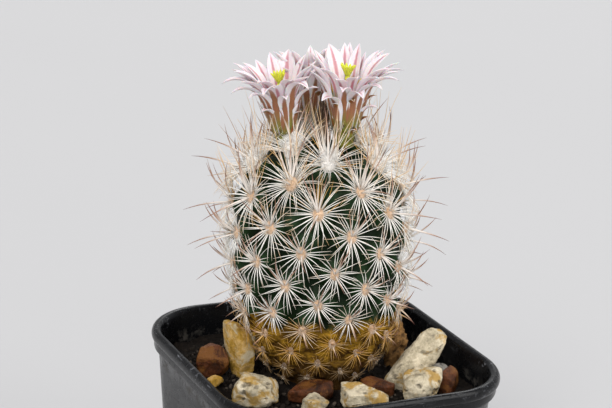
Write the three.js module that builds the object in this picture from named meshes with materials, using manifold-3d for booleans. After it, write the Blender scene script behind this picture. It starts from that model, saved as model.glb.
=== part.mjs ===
// A small globular cactus in flower, in a square black plastic nursery pot with loose stones.
// Millimetres, +Z up. The origin is the centre of the pot's underside, its sides run along X and Y.
import * as THREE from 'three';
import { mergeVertices } from 'three/addons/utils/BufferGeometryUtils.js';
import Module from 'manifold-3d';

const wasm = await Module();
wasm.setup();

// Driving dimensions
const GAP = 0.3;                    // clearance between two pieces that touch

const POT_WIDTH = 83;               // over the rolled lip, a pot sold as 8 cm
const POT_HEIGHT = 75;
const POT_CORNER = 19.5;            // corner radius at the rim
const POT_WALL = 1.2;
const POT_TAPER = THREE.MathUtils.degToRad(4.5);
const RIM_BAND = 6;                 // height of the upright band under the rolled lip
const RIM_STEP = 1.2;               // how far that band stands out from the wall
const LIP_THICKNESS = 2.6;
const FOOT_HEIGHT = 2;
const FOOT_RADIUS = 4;
const FOOT_SPREAD = 0.62;           // feet and outer drain holes, as a share of the half width
const FLOOR_THICKNESS = 1.6;
const FLOOR_ROUNDING = 0.8;
const DRAIN_RADIUS = 1.9;
const CORNER_STEPS = 4;
const ROUND_SIDES = 12;             // sides of the feet and the flower tubes

const SOIL_TOP = 66;
const STEM_HEIGHT = 69;
const STEM_FOOT = new THREE.Vector2(0.7, 1.3);
const STEM_LEAN = THREE.MathUtils.degToRad(4.7);
const STEM_LEAN_TOWARD = THREE.MathUtils.degToRad(135);
const NECK_DEPTH = 10;              // how far the stem's foot reaches into the soil
const TUBERCLE_DEPTH = 2.1;         // from a tubercle's tip down to the furrow beside it
const AREOLE_COUNT = 106;
const FIRST_AREOLE_AREA = 140;      // skin area above the youngest areole, in square millimetres
const YOUNG_TUBERCLE_AREA = 150;    // skin area of one young tubercle
const TUBERCLE_AREA_LOSS = 0.54;    // older tubercles are smaller
const FIRST_AREOLE_AZIMUTH = 65.7;
const DIVERGENCE = 137.6;           // degrees between one areole and the next
const STEM_COLUMNS = 46;
const STEM_ROWS = 25;
const CAVITY_SIDES = 24;

// Central spines, and the heights on the stem where they begin, are full grown, stand in pairs
// and end
const SPINE_REACH = 12;
const SPINE_BASE = 0.45;
const SPINE_TIP = 0.12;
const SPINE_ROOT_DEPTH = TUBERCLE_DEPTH + 0.6;
const SHORT_SPINE = 0.7;            // length of the lowest ones, as a share of the others
const SPINES_BEGIN = 16;
const SPINES_FULL_GROWN = 30;
const SPINES_PAIRED = 44;
const SPINES_END = 62;

const FLOWER_LENGTH = 13;           // of the closed tube
const FLOWER_SEAT = 1.4;            // how deep the tube sits in the crown's wool

// Colours, roughness and metalness of each material
function material(color, roughness, metalness = 0) {
  return new THREE.MeshStandardMaterial({ color, roughness, metalness });
}
const MATERIALS = {
  potPlastic: material(0x0d0e10, 0.32),
  soil: material(0x1a1512, 0.95),
  stemSkin: material(0x3c6440, 0.6),
  limestone: material(0xd9cfb4, 0.85),
  ochreStone: material(0xb9944f, 0.85),
  redStone: material(0x7a3a22, 0.8),
  brownChip: material(0x7d5a38, 0.9),
  flowerTube: material(0x7c7a30, 0.6),
  outerTepal: material(0xc98f86, 0.6),
  innerTepal: material(0xeddde6, 0.55),
  stamen: material(0xe0b94a, 0.6),
  pistil: material(0xcfd42a, 0.5),
  driedFlower: material(0x4b3626, 0.9),
};

// Conversions between three.js geometry and manifold solids
function toSolid(geometry) {
  const plain = geometry.clone();
  plain.deleteAttribute('normal');
  plain.deleteAttribute('uv');
  const merged = mergeVertices(plain, 1e-4);
  return new wasm.Manifold(new wasm.Mesh({
    numProp: 3,
    vertProperties: new Float32Array(merged.attributes.position.array),
    triVerts: new Uint32Array(merged.index.array),
  }));
}

function toGeometry(solid) {
  const mesh = solid.getMesh();
  const geometry = new THREE.BufferGeometry();
  geometry.setAttribute('position', new THREE.BufferAttribute(new Float32Array(mesh.vertProperties), 3));
  geometry.setIndex(new THREE.BufferAttribute(new Uint32Array(mesh.triVerts), 1));
  geometry.computeVertexNormals();
  return geometry;
}

function joined(geometries) {
  return geometries.map(toSolid).reduce((whole, part) => whole.add(part));
}

function namedMesh(name, geometry, surface) {
  const mesh = new THREE.Mesh(geometry, surface);
  mesh.name = name;
  return mesh;
}

// A repeatable stream of numbers between 0 and 1
function randomStream(seed) {
  let state = seed;
  return () => {
    state = (state * 1664525 + 1013904223) % 4294967296;
    return state / 4294967296;
  };
}

// Closed skin over rings of equally many points. The rings follow one another along the shape's
// axis, each running counter-clockwise about it, and both ends are capped.
function loft(rings) {
  const count = rings[0].length;
  const points = rings.flat();
  const index = [];
  for (let i = 0; i + 1 < rings.length; i += 1) {
    for (let j = 0; j < count; j += 1) {
      const a = i * count + j;
      const b = i * count + (j + 1) % count;
      index.push(a, b, b + count, a, b + count, a + count);
    }
  }
  const cap = (ring, start, flipped) => {
    const centre = ring.reduce((sum, p) => sum.add(p), new THREE.Vector3()).divideScalar(count);
    points.push(centre);
    for (let j = 0; j < count; j += 1) {
      const a = start + j;
      const b = start + (j + 1) % count;
      index.push(points.length - 1, flipped ? b : a, flipped ? a : b);
    }
  };
  cap(rings[0], 0, true);
  cap(rings[rings.length - 1], (rings.length - 1) * count, false);
  const geometry = new THREE.BufferGeometry().setFromPoints(points);
  geometry.setIndex(index);
  return geometry;
}

function roundRing(radius, z, count) {
  return Array.from({ length: count }, (_, j) => {
    const angle = 2 * Math.PI * j / count;
    return new THREE.Vector3(radius * Math.cos(angle), radius * Math.sin(angle), z);
  });
}

// Square ring with quarter-circle corners
function squareRing(half, corner, z) {
  const ring = [];
  for (let quarter = 0; quarter < 4; quarter += 1) {
    for (let step = 0; step <= CORNER_STEPS; step += 1) {
      const angle = (quarter + step / CORNER_STEPS) * Math.PI / 2;
      const middle = (quarter + 0.5) * Math.PI / 2;
      const inset = (half - corner) * Math.SQRT2;
      ring.push(new THREE.Vector3(
        inset * Math.cos(middle) + corner * Math.cos(angle),
        inset * Math.sin(middle) + corner * Math.sin(angle),
        z,
      ));
    }
  }
  return ring;
}

// Half width of the pot's inner wall at a height
const RIM_INNER_HALF = POT_WIDTH / 2 - LIP_THICKNESS;
function innerHalf(z) {
  return RIM_INNER_HALF - (POT_HEIGHT - z) * Math.tan(POT_TAPER);
}

function wallRing(half, z) {
  return squareRing(half, POT_CORNER * half / (POT_WIDTH / 2), z);
}

// Pot: tapered square shell with a rolled lip, an upright band, four feet and drain holes
function pot() {
  const floorLow = FOOT_HEIGHT;
  const floorTop = floorLow + FLOOR_THICKNESS;
  const half = POT_WIDTH / 2;
  const bandLow = POT_HEIGHT - RIM_BAND;
  const outerHalf = (z) => innerHalf(z) + POT_WALL;
  const outside = toSolid(loft([
    wallRing(outerHalf(floorLow) - 1, floorLow),
    wallRing(outerHalf(floorLow + 1), floorLow + 1),
    wallRing(outerHalf(bandLow), bandLow),
    wallRing(outerHalf(bandLow) + RIM_STEP, bandLow + 0.4),
    wallRing(half - 0.7, POT_HEIGHT - 2.8),
    wallRing(half, POT_HEIGHT - 2),
    wallRing(half - 0.2, POT_HEIGHT - 0.9),
    wallRing(half - 1.2, POT_HEIGHT),
  ]));
  const hollow = toSolid(loft([
    wallRing(innerHalf(floorTop) - FLOOR_ROUNDING, floorTop),
    wallRing(innerHalf(floorTop + 1), floorTop + 1),
    wallRing(innerHalf(POT_HEIGHT - 0.7), POT_HEIGHT - 0.7),
    wallRing(RIM_INNER_HALF + 0.6, POT_HEIGHT + 0.1),
  ]));
  let shell = outside.subtract(hollow);
  const footPlace = innerHalf(floorLow) * FOOT_SPREAD;
  for (const x of [-1, 1]) {
    for (const y of [-1, 1]) {
      const foot = loft([
        roundRing(FOOT_RADIUS - 0.4, 0, ROUND_SIDES),
        roundRing(FOOT_RADIUS, floorLow + 0.5, ROUND_SIDES),
      ]).translate(x * footPlace, y * footPlace, 0);
      shell = shell.add(toSolid(foot));
    }
  }
  const drainPlaces = [[0, 0], [1, 0], [-1, 0], [0, 1], [0, -1]];
  for (const [x, y] of drainPlaces) {
    const drain = loft([
      roundRing(DRAIN_RADIUS, floorLow - 1, 10),
      roundRing(DRAIN_RADIUS, floorTop + 1, 10),
    ]).translate(x * footPlace, y * footPlace, 0);
    shell = shell.subtract(toSolid(drain));
  }
  return namedMesh('pot', toGeometry(shell), MATERIALS.potPlastic);
}

// The stem's upright frame: its foot on the soil, its lean, and everything that grows on it
const stemGroup = new THREE.Group();
stemGroup.position.set(STEM_FOOT.x, STEM_FOOT.y, SOIL_TOP);
stemGroup.quaternion.setFromAxisAngle(
  new THREE.Vector3(-Math.sin(STEM_LEAN_TOWARD), Math.cos(STEM_LEAN_TOWARD), 0),
  STEM_LEAN,
);
stemGroup.updateMatrixWorld(true);

// Outline of the stem through its tubercle tips, from the soil to the apex, as radius and height
const outline = new THREE.SplineCurve([
  [12, 0], [15.8, 5], [19.2, 11], [21.4, 17], [22.9, 23], [24, 31], [24.5, 40], [24.4, 47],
  [23.4, 53], [21.4, 58], [18.4, 62], [14.8, 65], [10.6, 67.2], [5.8, 68.5], [0, STEM_HEIGHT],
].map(([radius, height]) => new THREE.Vector2(radius, height)));

// The same outline from the apex down, with the skin area and the skin length above each point
const skinTable = (() => {
  const points = outline.getSpacedPoints(300).reverse();
  let area = 0;
  let length = 0;
  return points.map((point, i) => {
    const before = points[Math.max(i - 1, 0)];
    const step = point.distanceTo(before);
    area += Math.PI * (point.x + before.x) * step;
    length += step;
    return { radius: Math.max(point.x, 0), height: point.y, area, length };
  });
})();

function skinAt(key, value) {
  const after = Math.max(1, skinTable.findIndex((row) => row[key] >= value));
  const low = skinTable[after - 1];
  const high = skinTable[after];
  const t = THREE.MathUtils.clamp((value - low[key]) / (high[key] - low[key]), 0, 1);
  const mix = (name) => low[name] + t * (high[name] - low[name]);
  const slope = Math.atan2(high.radius - low.radius, low.height - high.height);
  return { radius: mix('radius'), height: mix('height'), length: mix('length'), slope };
}

// Areoles in one golden-angle spiral, each with its own share of the skin
const areoles = Array.from({ length: AREOLE_COUNT }, (_, i) => {
  const area = FIRST_AREOLE_AREA + YOUNG_TUBERCLE_AREA * i - TUBERCLE_AREA_LOSS * i * i;
  const azimuth = THREE.MathUtils.degToRad(FIRST_AREOLE_AZIMUTH + DIVERGENCE * i);
  const share = YOUNG_TUBERCLE_AREA - 2 * TUBERCLE_AREA_LOSS * i;
  return { ...skinAt('area', area), azimuth, spread: 0.62 * Math.sqrt(share) };
});

// Height of the tubercles at a place on the skin: 1 at a tip, 0 in a furrow
function tubercleHeight(azimuth, length, radius) {
  let best = 0;
  for (const areole of areoles) {
    const turn = Math.atan2(Math.sin(azimuth - areole.azimuth), Math.cos(azimuth - areole.azimuth));
    const across = turn * Math.min(radius, areole.radius);
    const near = Math.hypot(across, length - areole.length) / areole.spread;
    if (near < 1) best = Math.max(best, 0.5 + 0.5 * Math.cos(Math.PI * near));
  }
  return best;
}

// A point of the skin pulled in from the outline, and the outward direction there
function skinNormal(azimuth, slope) {
  return new THREE.Vector3(
    Math.cos(azimuth) * Math.cos(slope),
    Math.sin(azimuth) * Math.cos(slope),
    Math.sin(slope),
  );
}

function skinPoint(azimuth, place, inset) {
  const point = new THREE.Vector3(
    place.radius * Math.cos(azimuth),
    place.radius * Math.sin(azimuth),
    place.height,
  );
  return point.addScaledVector(skinNormal(azimuth, place.slope), -inset);
}

// The neck below the soil's surface, or with some extra radius the cavity round it
function neckRings(extra, sides) {
  return [
    roundRing(5 + extra, -NECK_DEPTH - extra, sides),
    roundRing(8 + extra, -NECK_DEPTH * 0.5, sides),
    roundRing(10.5 + extra, -1.5, sides),
  ];
}

function stemBody() {
  const whole = skinTable[skinTable.length - 1].length;
  const rings = neckRings(0, STEM_COLUMNS);
  for (let row = 0; row < STEM_ROWS; row += 1) {
    const place = skinAt('length', whole * (1 - row / (STEM_ROWS - 0.5)));
    rings.push(Array.from({ length: STEM_COLUMNS }, (_, column) => {
      const azimuth = 2 * Math.PI * column / STEM_COLUMNS;
      const bump = tubercleHeight(azimuth, place.length, place.radius);
      return skinPoint(azimuth, place, TUBERCLE_DEPTH * (1 - bump));
    }));
  }
  return toSolid(loft(rings));
}

// One stout central spine as a slim three-sided spike
function spike(root, direction, length) {
  const geometry = loft([roundRing(SPINE_BASE, 0, 3), roundRing(SPINE_TIP, length, 3)]);
  const turn = new THREE.Quaternion().setFromUnitVectors(new THREE.Vector3(0, 0, 1), direction);
  return geometry.applyQuaternion(turn).translate(root.x, root.y, root.z);
}

function centralSpines() {
  const random = randomStream(11);
  const spikes = [];
  for (const areole of areoles) {
    if (areole.height > SPINES_END || areole.height < SPINES_BEGIN) continue;
    const root = skinPoint(areole.azimuth, areole, SPINE_ROOT_DEPTH);
    const rises = areole.height > SPINES_PAIRED
      ? [-20 + 45 * random(), 54 + 14 * random()]
      : [-25 + 50 * random()];
    for (const rise of rises) {
      const azimuth = areole.azimuth + 0.5 * (random() - 0.5);
      const direction = skinNormal(azimuth, THREE.MathUtils.degToRad(rise));
      const growth = areole.height > SPINES_FULL_GROWN ? 1 : SHORT_SPINE;
      const reach = growth * SPINE_REACH * (0.75 + 0.25 * random());
      spikes.push(spike(root, direction, reach + SPINE_ROOT_DEPTH));
    }
  }
  return spikes;
}

// Flowers: where each stands on the crown (in the stem's frame), how it tilts outward, its size
// and the seed of its irregular tepals
const FLOWERS = [
  { name: 'flower_left', azimuth: 170, distance: 8.3, tilt: 5, size: 1.0, seed: 3 },
  { name: 'flower_right', azimuth: 317, distance: 7.8, tilt: 4, size: 1.07, seed: 7 },
  { name: 'flower_back', azimuth: 72, distance: 8.6, tilt: 8, size: 0.98, seed: 5 },
];
for (const flower of FLOWERS) {
  const azimuth = THREE.MathUtils.degToRad(flower.azimuth);
  const seat = skinTable.find((row) => row.radius >= flower.distance);
  flower.place = new THREE.Vector3(
    flower.distance * Math.cos(azimuth),
    flower.distance * Math.sin(azimuth),
    seat.height - FLOWER_SEAT,
  );
  flower.turn = new THREE.Quaternion().setFromAxisAngle(
    new THREE.Vector3(-Math.sin(azimuth), Math.cos(azimuth), 0),
    THREE.MathUtils.degToRad(flower.tilt),
  );
}

// Outline of a flower's tube as radius and distance along its axis
const TUBE_OUTSIDE = [[2.3, 0], [2.6, 3], [3.3, 7], [4.4, FLOWER_LENGTH - 2], [4.8, FLOWER_LENGTH]];
const TUBE_INSIDE = [[1.3, 6.5], [2.3, 8.5], [4.1, FLOWER_LENGTH]];

function tubeRadius(along) {
  const after = Math.max(1, TUBE_OUTSIDE.findIndex(([, z]) => z >= along));
  const [lowRadius, lowZ] = TUBE_OUTSIDE[after - 1];
  const [highRadius, highZ] = TUBE_OUTSIDE[after];
  return lowRadius + (highRadius - lowRadius) * (along - lowZ) / (highZ - lowZ);
}

// Solid of revolution from a closed outline of radius and height
function turned(profile, sides) {
  const closed = [...profile, profile[0]].map(([radius, z]) => new THREE.Vector2(radius, z));
  const geometry = new THREE.LatheGeometry(closed, sides);
  return geometry.rotateX(Math.PI / 2);
}

function flowerTube(size) {
  const s = size;
  const outside = loft(TUBE_OUTSIDE.map(([radius, z]) => roundRing(radius * s, z * s, ROUND_SIDES)));
  const rings = TUBE_INSIDE.map(([radius, z]) => roundRing(radius * s, z * s, ROUND_SIDES));
  rings.push(roundRing(4.2 * s, (FLOWER_LENGTH + 0.5) * s, ROUND_SIDES));
  return toSolid(outside).subtract(toSolid(loft(rings)));
}

// One tepal: a thin pointed blade that starts at a radius and a height and bends outward
function tepal({ radius, z, azimuth, length, width, startAngle, endAngle }) {
  const stations = [[0, 0.5], [0.6, 1], [1, 0.12]];
  const thickness = 0.4;
  const side = new THREE.Vector3(-Math.sin(azimuth), Math.cos(azimuth), 0);
  const out = new THREE.Vector3(Math.cos(azimuth), Math.sin(azimuth), 0);
  const up = new THREE.Vector3(0, 0, 1);
  const centre = out.clone().multiplyScalar(radius).setZ(z);
  let travelled = 0;
  const rings = stations.map(([t, breadth]) => {
    const bend = THREE.MathUtils.degToRad(startAngle + (endAngle - startAngle) * (t + travelled) / 2);
    centre.addScaledVector(out, (t - travelled) * length * Math.sin(bend));
    centre.addScaledVector(up, (t - travelled) * length * Math.cos(bend));
    travelled = t;
    const lean = THREE.MathUtils.degToRad(startAngle + (endAngle - startAngle) * t);
    const across = side.clone().multiplyScalar(breadth * width / 2);
    const inner = up.clone().multiplyScalar(Math.sin(lean)).addScaledVector(out, -Math.cos(lean));
    inner.multiplyScalar(thickness / 2 * (t < 1 ? 1 : 0.5));
    return [
      centre.clone().add(across),
      centre.clone().add(inner),
      centre.clone().sub(across),
      centre.clone().sub(inner),
    ];
  });
  return loft(rings);
}

// How much room there is for a tepal, 1 in the open and less toward the other flowers
function roomToward(flower, azimuth) {
  const direction = new THREE.Vector3(Math.cos(azimuth), Math.sin(azimuth), 0).applyQuaternion(flower.turn);
  let room = 1;
  for (const other of FLOWERS) {
    if (other === flower) continue;
    const toward = other.place.clone().sub(flower.place).setZ(0).normalize();
    const facing = Math.max(0, direction.dot(toward));
    room = Math.min(room, 1 - facing ** 1.6);
  }
  return room;
}

// The two whorls of tepals: how many, where the first stands between its neighbours, their size, and
// the angles from the tube's axis at the foot and, closed or open, at the tip
const OUTER_TEPALS = {
  count: 10, phase: 0.5, length: 14.5, width: 3, startAngle: 14, closedAngle: -2, openAngle: 118,
};
const INNER_TEPALS = {
  count: 12, phase: 0, length: 13.6, width: 2.8, startAngle: 0, closedAngle: -4, openAngle: 74,
};
const OUTER_RING_LOW = FLOWER_LENGTH - 3.2;    // the ring that carries the outer tepals
const OUTER_RING_HIGH = FLOWER_LENGTH - 0.4;
const RING_CLEARANCE = GAP + 0.15;

// A whorl of tepals joined at their feet by a ring
function whorl(flower, ring, foot, blade) {
  const random = randomStream(flower.seed * blade.count);
  const parts = [turned(ring, ROUND_SIDES)];
  const opening = blade.openAngle - blade.closedAngle;
  for (let i = 0; i < blade.count; i += 1) {
    const azimuth = 2 * Math.PI * (i + blade.phase) / blade.count;
    const room = roomToward(flower, azimuth);
    parts.push(tepal({
      ...foot,
      azimuth,
      length: blade.length * flower.size * (0.94 + 0.06 * random()),
      width: blade.width * flower.size,
      startAngle: blade.startAngle,
      endAngle: blade.closedAngle + room * opening * (0.9 + 0.1 * random()),
    }));
  }
  return joined(parts);
}

function outerTepals(flower) {
  const s = flower.size;
  const low = OUTER_RING_LOW * s;
  const high = OUTER_RING_HIGH * s;
  const lowRadius = tubeRadius(OUTER_RING_LOW) * s + RING_CLEARANCE;
  const highRadius = tubeRadius(OUTER_RING_HIGH) * s + RING_CLEARANCE;
  const ring = [[lowRadius, low], [lowRadius + 0.5, low], [highRadius + 0.5, high], [highRadius, high]];
  return whorl(flower, ring, { radius: highRadius + 0.25, z: high - 0.6 }, OUTER_TEPALS);
}

function innerTepals(flower) {
  const s = flower.size;
  const low = FLOWER_LENGTH * s + GAP;
  const ring = [[3.7 * s, low], [4.5 * s, low], [4.5 * s, low + 0.7], [3.7 * s, low + 0.7]];
  return whorl(flower, ring, { radius: 4.1 * s, z: low + 0.35 }, INNER_TEPALS);
}

// Stamens: filaments with anthers on a band against the inside of the tube
const STAMEN_COUNT = 6;
const FILAMENT_RADIUS = 0.16;
const ANTHER_RADIUS = 0.38;
const ANTHER_LENGTH = 0.9;

function stamens(flower) {
  const s = flower.size;
  const ring = [[2.3 * s, 10.2 * s], [2.65 * s, 10.2 * s], [3.05 * s, 11.2 * s], [2.7 * s, 11.2 * s]];
  const parts = [turned(ring, ROUND_SIDES)];
  for (let i = 0; i < STAMEN_COUNT; i += 1) {
    const azimuth = 2 * Math.PI * i / STAMEN_COUNT;
    const reach = (i % 2 ? 5.4 : 6.6) * s;
    const filament = loft([
      roundRing(FILAMENT_RADIUS, 0, 3),
      roundRing(FILAMENT_RADIUS, reach - ANTHER_LENGTH, 3),
      roundRing(ANTHER_RADIUS, reach, 3),
    ]);
    filament.rotateY(THREE.MathUtils.degToRad(-3)).rotateZ(azimuth);
    filament.translate(2.66 * s * Math.cos(azimuth), 2.66 * s * Math.sin(azimuth), 10.6 * s);
    parts.push(filament);
  }
  return joined(parts);
}

// Pistil: a style from the bottom of the tube, ending in a spray of stigma lobes
const STYLE_TOP = 18.5;
const LOBE_COUNT = 6;
const LOBE_LENGTH = 3;
const LOBE_SPREAD = THREE.MathUtils.degToRad(22);

function pistil(flower) {
  const s = flower.size;
  const top = STYLE_TOP * s;
  const parts = [loft([
    roundRing(0.75, 6.5 * s + GAP, 6),
    roundRing(0.55, 9 * s, 6),
    roundRing(0.7, top + 0.4, 6),
  ])];
  for (let i = 0; i < LOBE_COUNT; i += 1) {
    const lobe = loft([roundRing(0.42, 0, 4), roundRing(0.3, LOBE_LENGTH * s, 4)]);
    lobe.rotateY(LOBE_SPREAD).rotateZ(2 * Math.PI * i / LOBE_COUNT);
    lobe.translate(0, 0, top - 0.2);
    parts.push(lobe);
  }
  return joined(parts);
}

function flowerGroup(flower) {
  const group = new THREE.Group();
  group.position.copy(flower.place);
  group.quaternion.copy(flower.turn);
  const organs = [
    ['tube', flowerTube(flower.size), MATERIALS.flowerTube],
    ['outer_tepals', outerTepals(flower), MATERIALS.outerTepal],
    ['inner_tepals', innerTepals(flower), MATERIALS.innerTepal],
    ['stamens', stamens(flower), MATERIALS.stamen],
    ['pistil', pistil(flower), MATERIALS.pistil],
  ];
  for (const [organ, solid, surface] of organs) {
    group.add(namedMesh(`${flower.name}_${organ}`, toGeometry(solid), surface));
  }
  return group;
}

// Sockets that hold the tubes and the dried flower in the crown
function socket(place, turn, radius) {
  const geometry = loft([roundRing(radius, -GAP, ROUND_SIDES), roundRing(radius, 8, ROUND_SIDES)]);
  return toSolid(geometry.applyQuaternion(turn).translate(place.x, place.y, place.z));
}

const DRIED = { place: new THREE.Vector3(1.2, -1.6, STEM_HEIGHT - 2), radius: 1.9, height: 10 };

function driedFlower() {
  const { place, radius, height } = DRIED;
  const rings = [[1, 0], [1.05, 0.25], [0.75, 0.5], [0.5, 0.8], [0.25, 1]];
  const geometry = loft(rings.map(([breadth, along]) => roundRing(radius * breadth, height * along, 7)));
  geometry.translate(place.x, place.y, place.z);
  return namedMesh('dried_flower', geometry, MATERIALS.driedFlower);
}

function stem() {
  let solid = stemBody();
  for (const spikeGeometry of centralSpines()) {
    solid = solid.add(toSolid(spikeGeometry));
  }
  for (const flower of FLOWERS) {
    solid = solid.subtract(socket(flower.place, flower.turn, TUBE_OUTSIDE[1][0] * flower.size + GAP));
  }
  solid = solid.subtract(socket(DRIED.place, new THREE.Quaternion(), DRIED.radius * 1.05 + GAP));
  return namedMesh('stem', toGeometry(solid), MATERIALS.stemSkin);
}

// Soil: fills the pot up to SOIL_TOP, with a cavity round the stem's neck and a wider pit, given as
// radius and height, for its spreading foot
const FOOT_PIT = [[12, 0], [16, 4]];

function soil() {
  const low = FOOT_HEIGHT + FLOOR_THICKNESS + GAP;
  const block = toSolid(loft([
    wallRing(innerHalf(low) - FLOOR_ROUNDING - GAP, low),
    wallRing(innerHalf(low + 1) - GAP, low + 1),
    wallRing(innerHalf(SOIL_TOP) - GAP, SOIL_TOP),
  ]));
  const clear = GAP + 0.1;
  const rings = neckRings(clear, CAVITY_SIDES);
  for (const [radius, height] of FOOT_PIT) rings.push(roundRing(radius + clear, height, CAVITY_SIDES));
  const cavity = toSolid(loft(rings).applyMatrix4(stemGroup.matrixWorld));
  return namedMesh('soil', toGeometry(block.subtract(cavity)), MATERIALS.soil);
}

// Loose stones on the soil, each a list of: name, material, middle of its foot, full length,
// depth and height, turn of the length about Z, tilt of its top, and the azimuth it tilts toward.
const STONES = [
  ['stone_ochre_tall', 'ochreStone', [-20.4, 7.4], [9, 5.4, 16], -60, 12, 162],
  ['shard_red_left', 'redStone', [-28.4, 9.2], [9.6, 6.2, 8.6], -26, 8, 150],
  ['stone_white_left', 'limestone', [-25.4, -11.2], [12.4, 9.6, 8.6], -24, 0, 0],
  ['pebble_left', 'ochreStone', [-31.5, 2.5], [4.2, 3.4, 2.8], 20, 0, 0],
  ['shard_red_front', 'redStone', [-10.4, -14.6], [12.6, 5.8, 5.6], -20, 12, 240],
  ['stone_white_front', 'limestone', [-13.2, -22.6], [7, 6.6, 5.6], 10, 0, 0],
  ['stone_white_middle', 'limestone', [1.9, -22.6], [13, 7.4, 6.4], -24, 0, 0],
  ['shard_red_right', 'redStone', [9.2, -16.2], [9.6, 5.4, 5], -30, 10, 250],
  ['stone_white_leaning', 'limestone', [16.9, -13.6], [8.6, 7.4, 20], -26, 34, -26],
  ['stone_cream_right', 'limestone', [19.4, -23.4], [11, 8.2, 8.6], -24, 0, 0],
  ['shard_brown_right', 'redStone', [28.6, -20], [6.4, 6, 7], 40, 12, -60],
  ['pebble_grey_right', 'limestone', [31, -11.2], [6, 4.6, 3.6], -40, 0, 0],
  ['chip_brown_tall', 'brownChip', [22.8, 2.2], [6.4, 5.4, 12.5], 10, 14, -15],
  ['chip_brown_small', 'brownChip', [24.6, -5], [5.6, 4.6, 5.6], 50, 0, 0],
  ['stone_white_back', 'limestone', [-7, 21.6], [12, 9, 8.2], 15, 0, 0],
  ['shard_red_back', 'redStone', [6.6, 22.4], [10, 7, 6], -35, 8, 60],
  ['stone_ochre_back', 'ochreStone', [17.4, 14.4], [9.6, 8, 7.6], 40, 0, 0],
  ['pebble_back', 'limestone', [-0.6, 29.6], [5, 4.2, 3.4], 0, 0, 0],
];

// One angular stone: a rough faceted ball, leaning, cut flat where it rests on the soil
const STONE_SUNK = 0.16;            // share of its height cut away below

function stone([name, look, place, size, yaw, lean, leanYaw], number) {
  const random = randomStream(97 + 31 * number);
  const geometry = mergeVertices(new THREE.IcosahedronGeometry(0.5, 1).deleteAttribute('normal')
    .deleteAttribute('uv'), 1e-4);
  const position = geometry.attributes.position;
  for (let i = 0; i < position.count; i += 1) {
    const jitter = 0.9 + 0.2 * random();
    position.setXYZ(i, position.getX(i) * jitter, position.getY(i) * jitter, position.getZ(i) * jitter);
  }
  const [length, depth, height] = size;
  const sunk = STONE_SUNK * height;
  geometry.scale(length, depth, height + sunk);
  geometry.translate(0, 0, (height + sunk) / 2 - sunk);
  geometry.rotateZ(THREE.MathUtils.degToRad(yaw));
  const toward = THREE.MathUtils.degToRad(leanYaw);
  const axis = new THREE.Vector3(-Math.sin(toward), Math.cos(toward), 0);
  geometry.applyQuaternion(new THREE.Quaternion().setFromAxisAngle(axis, THREE.MathUtils.degToRad(lean)));
  geometry.translate(place[0], place[1], SOIL_TOP + GAP);
  const ground = new THREE.BoxGeometry(80, 80, 40).translate(0, 0, SOIL_TOP + GAP - 20);
  return namedMesh(name, toGeometry(toSolid(geometry).subtract(toSolid(ground))), MATERIALS[look]);
}

const group = new THREE.Group();
group.add(pot());
group.add(soil());
stemGroup.add(stem());
stemGroup.add(driedFlower());
for (const flower of FLOWERS) stemGroup.add(flowerGroup(flower));
group.add(stemGroup);
STONES.forEach((entry, number) => group.add(stone(entry, number)));

export default group;
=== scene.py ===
"""Looks of a small flowering cactus in a square black nursery pot, topped with loose stones.

Shapes are worked out with numpy in millimetres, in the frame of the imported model: +Z up, the
origin at the centre of the pot's underside. new_piece turns them into metres.
"""

import math

import bpy
import numpy as np
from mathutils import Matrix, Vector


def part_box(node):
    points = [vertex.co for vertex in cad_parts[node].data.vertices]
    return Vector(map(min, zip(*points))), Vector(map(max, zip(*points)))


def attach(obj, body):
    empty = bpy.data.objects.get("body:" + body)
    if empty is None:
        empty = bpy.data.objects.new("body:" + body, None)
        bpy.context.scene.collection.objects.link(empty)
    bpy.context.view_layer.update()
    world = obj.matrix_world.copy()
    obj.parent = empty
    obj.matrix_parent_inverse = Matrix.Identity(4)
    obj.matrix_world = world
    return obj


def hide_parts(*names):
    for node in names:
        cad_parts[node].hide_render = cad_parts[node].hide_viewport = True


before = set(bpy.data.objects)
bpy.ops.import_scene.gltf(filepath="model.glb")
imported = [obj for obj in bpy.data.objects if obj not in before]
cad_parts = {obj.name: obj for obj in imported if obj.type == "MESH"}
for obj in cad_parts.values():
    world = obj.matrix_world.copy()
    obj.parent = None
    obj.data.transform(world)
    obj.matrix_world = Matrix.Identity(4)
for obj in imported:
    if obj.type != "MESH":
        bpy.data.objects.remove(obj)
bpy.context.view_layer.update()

bl_info = {
    "name": "Flowering Cactus in a Pot",
    "version": (1, 0, 0),
    "blender": (4, 5, 0),
    "location": "View3D > Sidebar > Cactus",
    "description": "Skin, spines, flowers, pot, soil and stones of a small potted cactus",
    "category": "Add Mesh",
}

MM = 0.001


def box_mm(node):
    """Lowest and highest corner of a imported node, in millimetres."""
    low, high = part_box(node)
    return np.array(low) / MM, np.array(high) / MM


# Places shared by several pieces, in millimetres
POT_LOW, POT_HIGH = box_mm("pot")
POT_WIDTH = round(float(POT_HIGH[0] - POT_LOW[0]), 1)
POT_HEIGHT = round(float(POT_HIGH[2]), 1)
SOIL_TOP = round(float(box_mm("soil")[1][2]), 1)
POT_CORNER = 19.5
POT_WALL = 1.2
LIP_THICKNESS = 2.6
LIP_RISE = 1.9
POT_TAPER = math.radians(4.5)
RIM_BAND = 6.0
FOOT_HEIGHT = 2.0
FLOOR_TOP = 3.6
FOOT_SPREAD = 0.62
FOOT_RADII = (3.6, 4.0)
HOLE_RADIUS = 1.9
SOIL_CLEARANCE = 0.35
GRIT_CLEARANCE = 12.5
PALE_GRIT_SHARE = 0.14

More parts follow.
